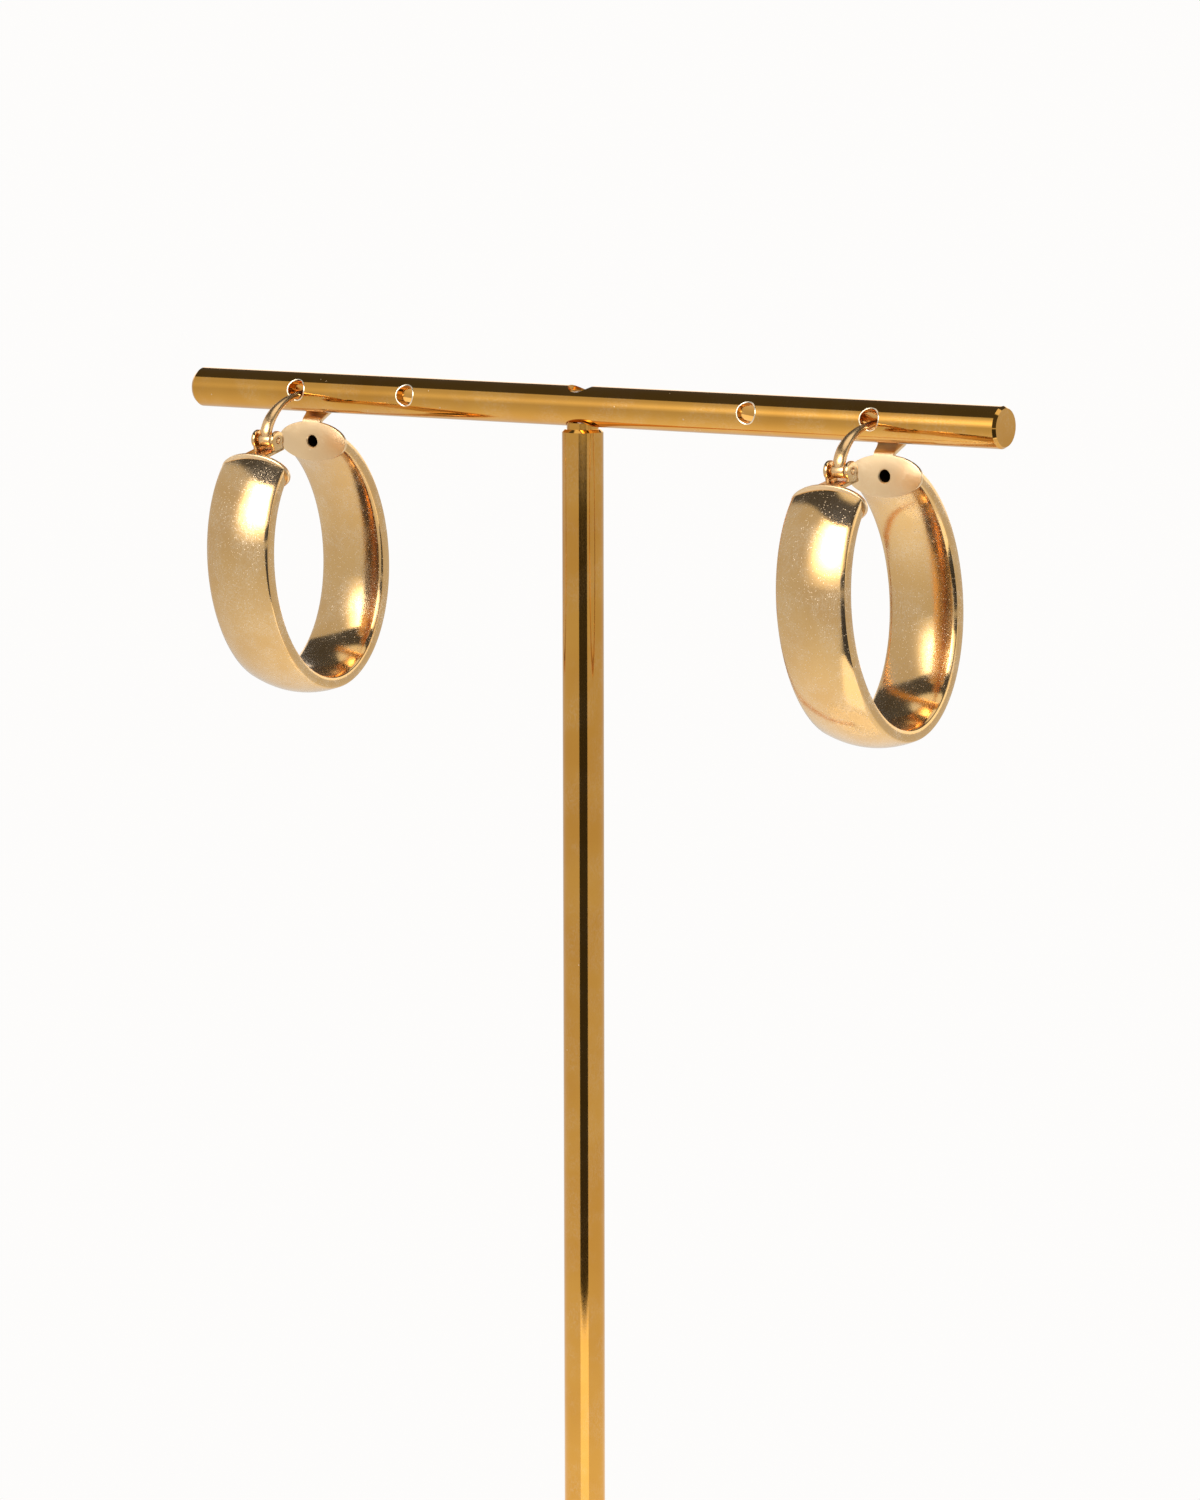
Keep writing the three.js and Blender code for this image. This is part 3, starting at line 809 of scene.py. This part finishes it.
@dataclass
class Base:
    """The round weighted foot of the stand."""

    diameter: float = 80.0
    height: float = 6.0
    edge: float = 0.8
    under: float = 0.4
    seat: float = 5.28
    seat_floor: float = 2.0
    lip_across: float = 0.2
    lip_down: float = 0.15
    sides: int = 160
    edge_steps: int = 8
    top_steps: int = 6

    def build(self, shop: Workshop) -> Object:
        """The turned base with an eased upper edge."""
        r, seat = self.diameter / 2, self.seat / 2
        profile = [(r - self.under, 0.0), (r, self.under)]
        for k in range(self.edge_steps + 1):
            turn = pi / 2 * k / self.edge_steps
            profile.append((r - self.edge * (1 - cos(turn)), self.height - self.edge * (1 - sin(turn))))
        for k in range(1, self.top_steps + 1):
            profile.append((lerp(r - self.edge, seat + self.lip_across, k / self.top_steps), self.height))
        profile += [(seat, self.height - self.lip_down), (seat, self.seat_floor)]
        shell = Shell().loft(turned(profile, self.sides))
        return as_object("dressed_base", shell, Matrix(), shop.metal(BASE_WHITE), TURNED_CREASE)


# The earrings

@dataclass(frozen=True)
class Hang:
    """How one earring hangs in its hole: turned in degrees, and slid in millimetres."""

    side: Side
    across: float
    tilt: float
    lean: float
    yaw: float
    slide: tuple[float, float, float]

    def place(self) -> Matrix:
        """From the earring's own frame to the model's frame, in millimetres."""
        turn = (Matrix.Rotation(radians(self.yaw), 4, "Z") @ Matrix.Rotation(radians(self.lean), 4, "Y")
                @ Matrix.Rotation(radians(self.tilt), 4, "X"))
        return Matrix.Translation((self.across, 0, BAR_HEIGHT)) @ turn @ Matrix.Translation(self.slide)


HANGS = (Hang(Side.LEFT, -OUTER_HOLE, 13.5, 1.2, 0.8, (0.4995, -0.703, 0.3515)),
         Hang(Side.RIGHT, OUTER_HOLE, 10.5, -1.5, -1.5, (0.0, 0.0, 0.0)))


@dataclass(frozen=True)
class Oval:
    """The oval that the band follows, seen from the side, and the two plates that end it."""

    half_depth: float = 11.8
    half_height: float = 15.9
    centre_y: float = -6.3
    plate_z: float = -6.57
    opening: float = 31.0
    plate_lean: float = 8.0
    front_drop: float = 0.3

    def at(self, angle: float) -> Vector:
        """A point of the oval; the angle counts from the bottom to the back."""
        centre_z = self.plate_z - self.half_height * cos(radians(self.opening))
        return Vector((0, self.centre_y + self.half_depth * sin(angle),
                       centre_z - self.half_height * cos(angle)))

    def plate(self, end: End) -> Matrix:
        """An end plate's frame: x across, y up the plate, z out into the opening."""
        side, lean = end.value, radians(self.plate_lean)
        point = self.at(side * (pi - radians(self.opening)))
        into = Vector((0, -side * cos(lean), sin(lean)))
        up = Vector((0, side * sin(lean), cos(lean)))
        if end is End.HINGE:
            point = point - up * self.front_drop
        return frame_of(up.cross(into), up, into, point)


OVAL = Oval()


@dataclass
class Piece:
    """What an earring and each piece of it are made with."""

    hang: Hang
    shop: Workshop

    def name(self, piece: str) -> str:
        """A piece's name with its side."""
        return f"{self.hang.side.value}_{piece}"

    def finished(self, piece: str, shell: Shell, frame: Matrix, finish: Finish,
                 crease: float = SHEET_CREASE) -> Object:
        """Makes the piece at its place.

        Args:
            piece: the piece's name without its side.
            shell: its mesh.
            frame: from the mesh's own frame to the earring's.
            finish: how it looks.
            crease: the angle in degrees above which an edge stays sharp.

        Returns:
            The new object, at the origin.
        """
        return as_object(self.name(piece), shell, self.hang.place() @ frame, self.shop.metal(finish), crease)


@dataclass
class HoopBand(Piece):
    """The hollow oval band: two crowned faces between flat rims."""

    width: float = 9.7
    rim: float = 1.35
    outer_crown: float = 0.8
    inner_crown: float = 0.95
    edge: float = 0.12
    vent_depth: float = 3.2
    vent_sides: int = 32
    steps: int = 220
    crown_steps: int = 18
    past_plates: float = 0.4
    near_plate: float = 0.9

    def section(self) -> Pairs:
        """The band's outline across and outwards, with eased rims."""
        half, rim, e = self.width / 2, self.rim / 2, self.edge
        soft = e * CORNER
        outline: Pairs = []
        for way, crown in ((1, self.outer_crown), (-1, self.inner_crown)):
            for i in range(self.crown_steps + 1):
                u = way * (1 - 2 * i / self.crown_steps) * (1 - e / half)
                outline.append((u * half, way * (rim + crown * (1 - u * u))))
            outline += [(way * x, way * y) for x, y in (
                (-half + soft, rim - soft), (-half, rim - e), (-half, -rim + e), (-half + soft, -rim + soft))]
        return outline

    def build(self) -> Object:
        """The band carried round its oval and trimmed at the plates, with a well under the vent."""
        reach = pi - radians(OVAL.opening) * (1 - self.past_plates)
        path = [OVAL.at(lerp(-reach, reach, i / self.steps)) for i in range(self.steps + 1)]
        mesh = self.shop.sweeper.run("band", [path], self.section(), self.shop.metal(HOOP_GOLD))
        work = bmesh.new()
        work.from_mesh(mesh)
        for end in End:
            frame = OVAL.plate(end)
            centre, out = frame.translation, frame.to_3x3().col[2]
            near = [g for g in (*work.verts, *work.edges, *work.faces) if self.beside(g, centre)]
            bmesh.ops.bisect_plane(work, geom=near, plane_co=centre, plane_no=out, clear_outer=True)
            loop = [e for e in work.edges if e.is_boundary and self.beside(e, centre)]
            if end is End.HINGE:
                bmesh.ops.holes_fill(work, edges=loop, sides=0)
            else:
                self.well(work, loop, frame)
        work.to_mesh(mesh)
        work.free()
        mesh.materials.append(self.shop.metal(VENT_SHADE))
        return placed(self.name("band"), mesh, self.hang.place(), BAND_CREASE)

    def beside(self, item: object, centre: Vector) -> bool:
        """Whether a vertex, edge or face lies near a plate."""
        points = [item.co] if isinstance(item, bmesh.types.BMVert) else [v.co for v in item.verts]
        return all((p - centre).length < self.width * self.near_plate for p in points)

    def well(self, work: bmesh.types.BMesh, loop: list[bmesh.types.BMEdge], frame: Matrix) -> None:
        """Closes the band's end round a dark well under the vent.

        Args:
            work: the band's mesh.
            loop: the open end's edges.
            frame: the end plate's frame.
        """
        rings = turned([(VENT / 2, 0.0), (VENT / 2, -self.vent_depth)], self.vent_sides)
        mouth, floor = ([work.verts.new(frame @ p) for p in points] for points in rings)
        pairs = [(i, (i + 1) % self.vent_sides) for i in range(self.vent_sides)]
        rim = [work.edges.new((mouth[i], mouth[k])) for i, k in pairs]
        for i, k in pairs:
            work.faces.new((mouth[i], mouth[k], floor[k], floor[i])).material_index = 1
        work.faces.new(floor).material_index = 1
        bmesh.ops.triangle_fill(work, use_beauty=True, edges=[*loop, *rim])


@dataclass
class EndPlate(Piece):
    """An oval plate soldered on the band's end; the back one, at the catch, has the vent."""

    end: End = End.HINGE
    width: float = 10.5
    thickness: float = 0.5
    bevel: float = 0.09
    vent_bevel: float = 0.117
    sides: int = 96

    def build(self) -> Object:
        """The plate at its place."""
        t, b = self.thickness / 2, self.bevel
        soft, mouth, vented = b * CORNER, self.vent_bevel, self.end is End.CATCH
        rings = [[Vector((x, y, z)) for x, y in ring(self.sides, self.width / 2 - i, PLATE_HEIGHT / 2 - i)]
                 for i, z in ((b, -t), (0, -t + b), (0, t - b), (soft, t - soft), (b, t))]
        if vented:
            r = VENT / 2
            rings += turned([(r + mouth, t), (r, t - mouth), (r, -t)], self.sides)
        name = "back_plate" if vented else "front_plate"
        shell = Shell().loft(rings, around=vented)
        return self.finished(name, shell, OVAL.plate(self.end), PLATE_GOLD, PLATE_CREASE)


@dataclass
class HingeBracket(Piece):
    """The floor and the two round-topped ears that hold the pin."""

    ear: float = 2.4
    ear_thickness: float = 0.5
    ear_spacing: float = 2.9
    leg_depth: float = 1.9
    leg_from: float = 0.93
    eye_gap: float = 0.15
    floor: float = 0.5
    bevel: float = 0.1
    sides: int = 64

    def ear_outline(self, inset: float) -> Pairs:
        """An ear's outline round the pin as (y, z): a disc on a leg."""
        r, leg = self.ear / 2 - inset, self.leg_depth / 2 - inset
        low = -(EYE / 2 + self.eye_gap + self.floor) + inset
        points = []
        for c, s in ring(self.sides, 1, 1):
            reach = r
            if s < 0:
                to_leg = min(low / s, leg / max(abs(c), 1e-6))
                reach = to_leg if to_leg > r * self.leg_from else r
            points.append((reach * c, reach * s))
        return points

    def build(self) -> Object:
        """The bracket, made round the pin."""
        half, b, r = self.ear_thickness / 2, self.bevel, PIN_HOLE / 2
        soft, shell = b * CORNER, Shell()
        for side in (-1, 1):
            x0 = side * self.ear_spacing / 2
            stations = [(x0 - half, b), (x0 - half + soft, soft), (x0 - half + b, 0),
                        (x0 + half - b, 0), (x0 + half - soft, soft), (x0 + half, b)]
            rings = [[Vector((x, y, z)) for y, z in self.ear_outline(inset)] for x, inset in stations]
            rings += turned([(r, x0 + half), (r, x0 - half)], self.sides, Axis.X)
            shell.loft(rings, around=True)
        top = -EYE / 2 - self.eye_gap
        low, width = top - self.floor, (self.ear_spacing + self.ear_thickness) / 2
        outline = [(width - b, top), (width, top - b), (width, low + b), (width - b, low)]
        outline += [(-x, z) for x, z in reversed(outline)]
        ends = (OVAL.plate(End.HINGE).translation.y - PIN[0], self.leg_depth / 2)
        shell.loft([[Vector((x, y, z)) for x, z in outline] for y in ends])
        return self.finished("hinge_bracket", shell, PIN_PLACE, HOOP_GOLD)


@dataclass
class CatchTab(Piece):
    """The slotted tab that bends round behind the crossbar."""

    neck: float = 2.95
    thickness: float = 0.5
    overlap: float = 1.0
    bend_radius: float = 3.75
    slot: float = 1.05
    slot_from: float = 28.0
    fork_overlap: float = 0.05
    bend: tuple[tuple[float, float], ...] = (
        (18.0, 3.3), (35.0, 3.9), (50.0, 3.9), (66.0, 3.9), (80.0, 2.95))
    sunk: float = 0.06
    bevel: float = 0.09
    steps: int = 48

    def line(self) -> list[tuple[Vector, float]]:
        """Points down the middle of the tab, each with its width."""
        frame, top = OVAL.plate(End.CATCH), PLATE_HEIGHT / 2
        points = [frame @ Vector((0, y, -self.sunk)) + Vector((self.neck, 0, 0))
                  for y in (top - self.overlap, top)]
        for degrees, width in self.bend:
            turn = radians(degrees)
            points.append(Vector((width, self.bend_radius * sin(turn), -self.bend_radius * cos(turn))))
        return [(Vector((0, p.y, p.z)), p.x) for p in catmull(points, self.steps)]

    def strip(self, shell: Shell, line: list[tuple[Vector, float, float]]) -> None:
        """Adds a strap along points that each hold a left and a right edge.

        Args:
            shell: the mesh to add to.
            line: the points with the strap's left and right edges there.
        """
        rows, b, half = [], self.bevel, self.thickness / 2
        for i, (point, left, right) in enumerate(line):
            before, after = line[max(i - 1, 0)][0], line[min(i + 1, len(line) - 1)][0]
            along = (after - before).normalized()
            out = Vector((0, -along.z, along.y))
            corners = [(left, -half + b), (left + b, -half), (right - b, -half), (right, -half + b),
                       (right, half - b), (right - b, half), (left + b, half), (left, half - b)]
            rows.append([Vector((x, point.y, point.z)) + out * n for x, n in corners])
        shell.loft(rows)

    def build(self) -> Object:
        """The tab with its open slot."""
        slot_floor, slot = -self.bend_radius * cos(radians(self.slot_from)), self.slot / 2
        line, shell = self.line(), Shell()
        fork = [(p, w / 2) for p, w in line if p.z >= slot_floor - self.fork_overlap]
        self.strip(shell, [(p, -w / 2, w / 2) for p, w in line if p.z <= slot_floor + self.fork_overlap])
        self.strip(shell, [(p, -half, -slot) for p, half in fork])
        self.strip(shell, [(p, slot, half) for p, half in fork])
        return self.finished("catch_tab", shell, Matrix(), PLATE_GOLD)


@dataclass
class EarWire(Piece):
    """The wire: an eye on the pin, a flat root and a round tail."""

    diameter: float = 0.8
    root_width: float = 1.7
    root_thickness: float = 1.0
    crown: float = 0.1
    tail: float = 3.9
    tip: float = -1.7
    tip_share: float = 0.55
    tip_from: float = 0.965
    flat_until: float = 0.12
    round_from: float = 0.58
    eye_bevel: float = 0.12
    front_route: tuple[tuple[float, float], ...] = (
        (-0.016, 0.09), (0.0, 0.3), (0.098, 0.595), (0.266, 0.851), (0.489, 0.99), (0.717, 1.005),
        (0.935, 0.955))
    tail_route: tuple[tuple[float, float], ...] = ((0.308, 0.27), (0.692, 0.55), (1.0, 1.0))
    steps: int = 96
    sides: int = 28
    eye_sides: int = 56

    def path(self) -> list[Vector]:
        """The wire's centre line."""
        py, pz = PIN
        points = [Vector((0, lerp(py, 0, back), lerp(pz, self.crown, up))) for back, up in self.front_route]
        points += [Vector((0, self.tail * back, lerp(self.crown, self.tip, down)))
                   for back, down in self.tail_route]
        return catmull(points, self.steps)

    def build(self) -> Object:
        """The wire and its eye as one piece."""
        name, thick, spreads = self.name("dressed_wire"), [], []
        for i in range(self.steps + 1):
            share = i / self.steps
            blend = smoothstep(self.flat_until, self.round_from, share)
            tip = lerp(1.0, self.tip_share, smoothstep(self.tip_from, 1.0, share))
            thick.append(lerp(self.root_thickness, self.diameter, blend) * tip)
            spreads.append(lerp(self.root_width, self.diameter, blend) * tip / thick[-1])
        mesh = self.shop.sweeper.run(name, [self.path()], ring(self.sides, 0.5, 0.5),
                                     self.shop.metal(WIRE_GOLD), sizes=thick, spreads=spreads)
        r, half, b = EYE / 2, self.root_width / 2, self.eye_bevel
        edge = [(r - b, half), (r - b * CORNER, half - b * CORNER), (r, half - b)]
        profile = [(q, -x) for q, x in edge] + edge[::-1] + [(PIN_HOLE / 2, half), (PIN_HOLE / 2, -half)]
        shell = Shell().loft(turned(profile, self.eye_sides, Axis.X), around=True)
        eye = self.finished("wire_eye", shell, PIN_PLACE, WIRE_GOLD)
        return joined(placed(name, mesh, self.hang.place(), SHEET_CREASE), eye)


@dataclass
class HingePin(Piece):
    """The pin with a low domed head outside each ear."""

    diameter: float = 0.64
    reach: float = 1.82
    dome: float = 0.12
    dome_top: float = 0.35
    dome_side: float = 0.8
    sides: int = 40

    def build(self) -> Object:
        """The pin at its place."""
        r, e, d = self.diameter / 2, self.reach, self.dome
        head = [(r * self.dome_top, e), (r * self.dome_side, e - d * CORNER), (r, e - d)]
        profile = [(q, -x) for q, x in head] + head[::-1]
        shell = Shell().loft(turned(profile, self.sides, Axis.X))
        return self.finished("dressed_pin", shell, PIN_PLACE, WIRE_GOLD)


@dataclass
class Earring(Piece):
    """One earring of the pair, with everything that hangs in one hole."""

    def build(self) -> None:
        """Builds the pieces and sets them on their bodies."""
        made_with, hoop = (self.hang, self.shop), self.name("hoop")
        for piece in (HoopBand(*made_with), EndPlate(*made_with, End.HINGE), EndPlate(*made_with, End.CATCH),
                      HingeBracket(*made_with), CatchTab(*made_with)):
            settle(piece.build(), hoop, [hoop])
        settle(EarWire(*made_with).build(), "stand", [self.name("ear_wire")])
        settle(HingePin(*made_with).build(), hoop, [self.name("hinge_pin")])


def settle(piece: Object, body: str, nodes: list[str]) -> None:
    """Sets a piece on its body, hides the CAD parts that it replaces and reports it.

    Args:
        piece: the finished piece.
        body: the body that it rides on.
        nodes: the CAD nodes that it replaces.
    """
    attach(piece, body)
    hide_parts(*nodes)
    LOG.info("%s: %d faces on %s", piece.name, len(piece.data.polygons), body)


# The studio

@dataclass(frozen=True)
class Window:
    """A soft bright window in the wall: a bell across it and a step up it, in degrees."""

    middle: float
    spread: float
    rise: tuple[float, float]
    level: float


@dataclass(frozen=True)
class Card:
    """A sheet of light from near to far before the camera, in millimetres."""

    name: str
    near: float
    far: float
    level: float


@dataclass
class Studio:
    """The pale floor, the light round the object and the cards that only reflections show.

    Directions are in degrees, counted from straight in front towards the right.
    """

    floor_radius: float = 40000.0
    floor_sides: int = 96
    floor_near: float = 1.15
    floor_far: float = 0.66
    seen_from: float = 0.15
    seen_level: float = 0.985
    lamp_size: float = 0.5
    lamp_height: float = 0.6
    lamp_power: float = 3.2
    wall_middle: float = -48.0
    wall_top: float = 44.5
    wall_dip: float = 3.5
    dip_over: float = 35.0
    wall_fall: float = 0.0075
    wall_level: float = 0.66
    wall_end: float = 9.0
    end_shift: float = 21.0
    end_rise: tuple[float, float] = (7.0, 13.0)
    top_edge: float = 1.2
    side_edge: float = 3.0
    windows: tuple[Window, ...] = (
        Window(-9.0, 21.0, (-8.0, 14.0), 1.6), Window(-8.0, 16.5, (4.0, 22.0), 9.0))
    windows_from: tuple[float, float] = (-52.0, -27.0)
    panel_from: tuple[float, float] = (61.0, 67.0)
    panel_to: tuple[float, float] = (150.0, 120.0)
    panel_top: tuple[float, float] = (40.0, 34.0)
    panel_level: float = 0.9
    panel_glow: tuple[float, float, float] = (69.0, 5.0, 0.8)
    behind_from: tuple[float, float] = (0.1, 0.5)
    behind_top: tuple[float, float] = (25.0, 21.0)
    behind_level: float = 1.5
    overhead_from: tuple[float, float] = (61.0, 67.0)
    overhead_level: float = 1.1
    dark_level: float = 0.08
    camera_turn: float = 35.0
    card_spread: float = 0.42
    card_height: float = 1.5
    cards: tuple[Card, ...] = (Card("pale_card", 50.0, 172.0, 1.6), Card("dark_card", 180.0, 1800.0, 0.05))

    def build(self) -> None:
        """Makes the floor, the lamp, the surroundings and the cards."""
        self.floor()
        self.base_lamp()
        self.surroundings()
        self.floor_cards()

    def blank(self, name: str) -> tuple[Material, Nodes]:
        """A material without nodes, and a builder for them."""
        material = bpy.data.materials.new(name)
        material.use_nodes = True
        material.node_tree.nodes.clear()
        return material, Nodes(material.node_tree)

    def floor(self) -> None:
        """A wide pale floor, evenly white to the camera and paler below the object in reflections."""
        material, nodes = self.blank("pale_floor")
        away = nodes.add("ShaderNodeVectorMath", {0: nodes.where()}, operation="LENGTH").outputs["Value"]
        slant = nodes.maths("SQRT", nodes.plus(nodes.times(away, away), self.seen_from ** 2))
        steep = nodes.maths("POWER", nodes.maths("DIVIDE", self.seen_from, slant), 2.0)
        level = nodes.plus(nodes.times(steep, self.floor_near - self.floor_far), self.floor_far)
        both = nodes.seen_apart("ShaderNodeEmission", level, self.seen_level)
        nodes.add("ShaderNodeOutputMaterial", {"Surface": both})
        points = [Vector((x, y, 0)) for x, y in ring(self.floor_sides, self.floor_radius, self.floor_radius)]
        shell = Shell(points, [tuple(range(self.floor_sides))])
        as_object("pale_floor", shell, Matrix(), material)

    def base_lamp(self) -> None:
        """A soft lamp over the stand that lights its base and that metal doesn't mirror."""
        data = bpy.data.lights.new("base_lamp", "AREA")
        data.size, data.energy = self.lamp_size, self.lamp_power
        lamp = linked("base_lamp", data)
        lamp.location = (0, 0, self.lamp_height)
        lamp.visible_glossy = False

    def floor_cards(self) -> None:
        """A pale and a dark sheet on the camera's side of the floor, which only reflections see."""
        turn = radians(self.camera_turn)
        to_camera, aside = Vector((sin(turn), -cos(turn), 0)), Vector((cos(turn), sin(turn), 0))
        for sheet in self.cards:
            corners = [(d, way * d * self.card_spread) for d, way in (
                (sheet.near, -1), (sheet.near, 1), (sheet.far, 1), (sheet.far, -1))]
            points = [to_camera * d + aside * s + Vector((0, 0, self.card_height)) for d, s in corners]
            material, nodes = self.blank(sheet.name)
            glow = nodes.add("ShaderNodeEmission", {"Color": WARM_WHITE, "Strength": sheet.level})
            nodes.add("ShaderNodeOutputMaterial", {"Surface": glow.outputs[0]})
            card = as_object(sheet.name, Shell(points, [(0, 1, 2, 3)]), Matrix(), material)
            card.visible_camera = card.visible_diffuse = card.visible_shadow = False

    def surroundings(self) -> None:
        """Walls of light with dark gaps above and round the camera, painted by direction."""
        world = bpy.data.worlds.new("studio")
        bpy.context.scene.world = world
        world.use_nodes = True
        world.node_tree.nodes.clear()
        nodes = Nodes(world.node_tree)
        x, y, z = nodes.add("ShaderNodeSeparateXYZ", {"Vector": nodes.where("Generated")}).outputs
        high = nodes.maths("DEGREES", nodes.maths("ARCSINE", z))
        turn = nodes.maths("DEGREES", nodes.maths("ARCTAN2", x, nodes.times(y, -1.0)))
        total = self.dark_level
        for part in (self.left_wall(nodes, turn, high), self.right_panel(nodes, turn, high),
                     nodes.times(nodes.step(y, *self.behind_from), self.behind_level,
                                 nodes.step(high, *self.behind_top)),
                     nodes.times(nodes.step(high, *self.overhead_from), self.overhead_level)):
            total = nodes.maths("MAXIMUM", part, total)
        both = nodes.seen_apart("ShaderNodeBackground", total, self.seen_level)
        nodes.add("ShaderNodeOutputWorld", {"Surface": both})

    def left_wall(self, nodes: Nodes, turn: NodeSocket, high: NodeSocket) -> NodeSocket:
        """The wide wall on the left, with its windows.

        Args:
            nodes: the world's nodes.
            turn: the direction's angle round the object.
            high: the direction's height.

        Returns:
            The wall's brightness.
        """
        aside = nodes.plus(turn, -self.wall_middle)
        left_of = nodes.maths("MINIMUM", aside, 0.0)
        drop = nodes.times(left_of, left_of, self.wall_fall)
        dip = nodes.times(nodes.step(aside, 0.0, self.dip_over), self.wall_dip)
        top = nodes.minus(nodes.minus(self.wall_top, drop), dip)
        below = nodes.step(nodes.minus(high, top), self.top_edge, -self.top_edge)
        end = nodes.plus(nodes.times(nodes.step(high, *self.end_rise), self.end_shift), self.wall_end)
        within = nodes.step(nodes.minus(turn, end), self.side_edge, -self.side_edge)
        bright = nodes.plus(*(
            nodes.times(nodes.bell(turn, w.middle, w.spread), nodes.step(high, *w.rise), w.level)
            for w in self.windows))
        cut = nodes.times(bright, nodes.step(turn, *self.windows_from))
        return nodes.times(nodes.times(below, within), nodes.plus(cut, self.wall_level))

    def right_panel(self, nodes: Nodes, turn: NodeSocket, high: NodeSocket) -> NodeSocket:
        """The panel on the right of the camera, brighter at its near edge.

        Args:
            nodes: the world's nodes.
            turn: the direction's angle round the object.
            high: the direction's height.

        Returns:
            The panel's brightness.
        """
        middle, spread, level = self.panel_glow
        edge = nodes.times(nodes.bell(turn, middle, spread), level)
        panel = nodes.times(nodes.step(turn, *self.panel_from), nodes.step(high, *self.panel_top))
        return nodes.times(panel, nodes.plus(edge, self.panel_level), nodes.step(turn, *self.panel_to))


@dataclass
class PhotoCamera:
    """The photograph's viewpoint."""

    position: tuple[float, float, float] = (0.36105, -0.51224, 0.20765)
    yaw: float = 0.6107085
    pitch: float = 0.1426930
    roll: float = 0.00155436
    lens: float = 123.446
    sensor: float = 36.0
    clip: tuple[float, float] = (0.01, 50.0)

    def build(self) -> None:
        """Makes the camera and gives it to the scene."""
        ahead = Vector((-sin(self.yaw), cos(self.yaw), 0))
        level = Vector((cos(self.yaw), sin(self.yaw), 0))
        forward = ahead * cos(self.pitch) - Vector((0, 0, sin(self.pitch)))
        down = forward.cross(level)
        right = level * cos(self.roll) + down * sin(self.roll)
        low = down * cos(self.roll) - level * sin(self.roll)
        data = bpy.data.cameras.new("photo_camera")
        data.lens, data.sensor_width, data.sensor_fit = self.lens, self.sensor, "AUTO"
        data.clip_start, data.clip_end = self.clip
        camera = linked("photo_camera", data)
        camera.matrix_world = frame_of(right, -low, -forward, Vector(self.position))
        bpy.context.scene.camera = camera


def main() -> None:
    """Builds the stand, both earrings and the studio round the frame."""
    logging.basicConfig(level=logging.INFO, format="%(name)s: %(message)s")
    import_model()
    shop, bar = Workshop(), Crossbar()
    settle(bar.build(shop), "stand", ["crossbar"])
    settle(bar.rims(shop), "stand", ["crossbar"])
    settle(Post().build(shop), "stand", ["post"])
    settle(BarScrew().build(shop), "stand", ["bar_screw"])
    settle(Base().build(shop), "stand", ["base"])
    for hang in HANGS:
        Earring(hang, shop).build()
    Studio().build()
    PhotoCamera().build()
    settings = bpy.context.scene.view_settings
    settings.view_transform, settings.look = "Standard", "None"


if __name__ == "__main__":
    main()
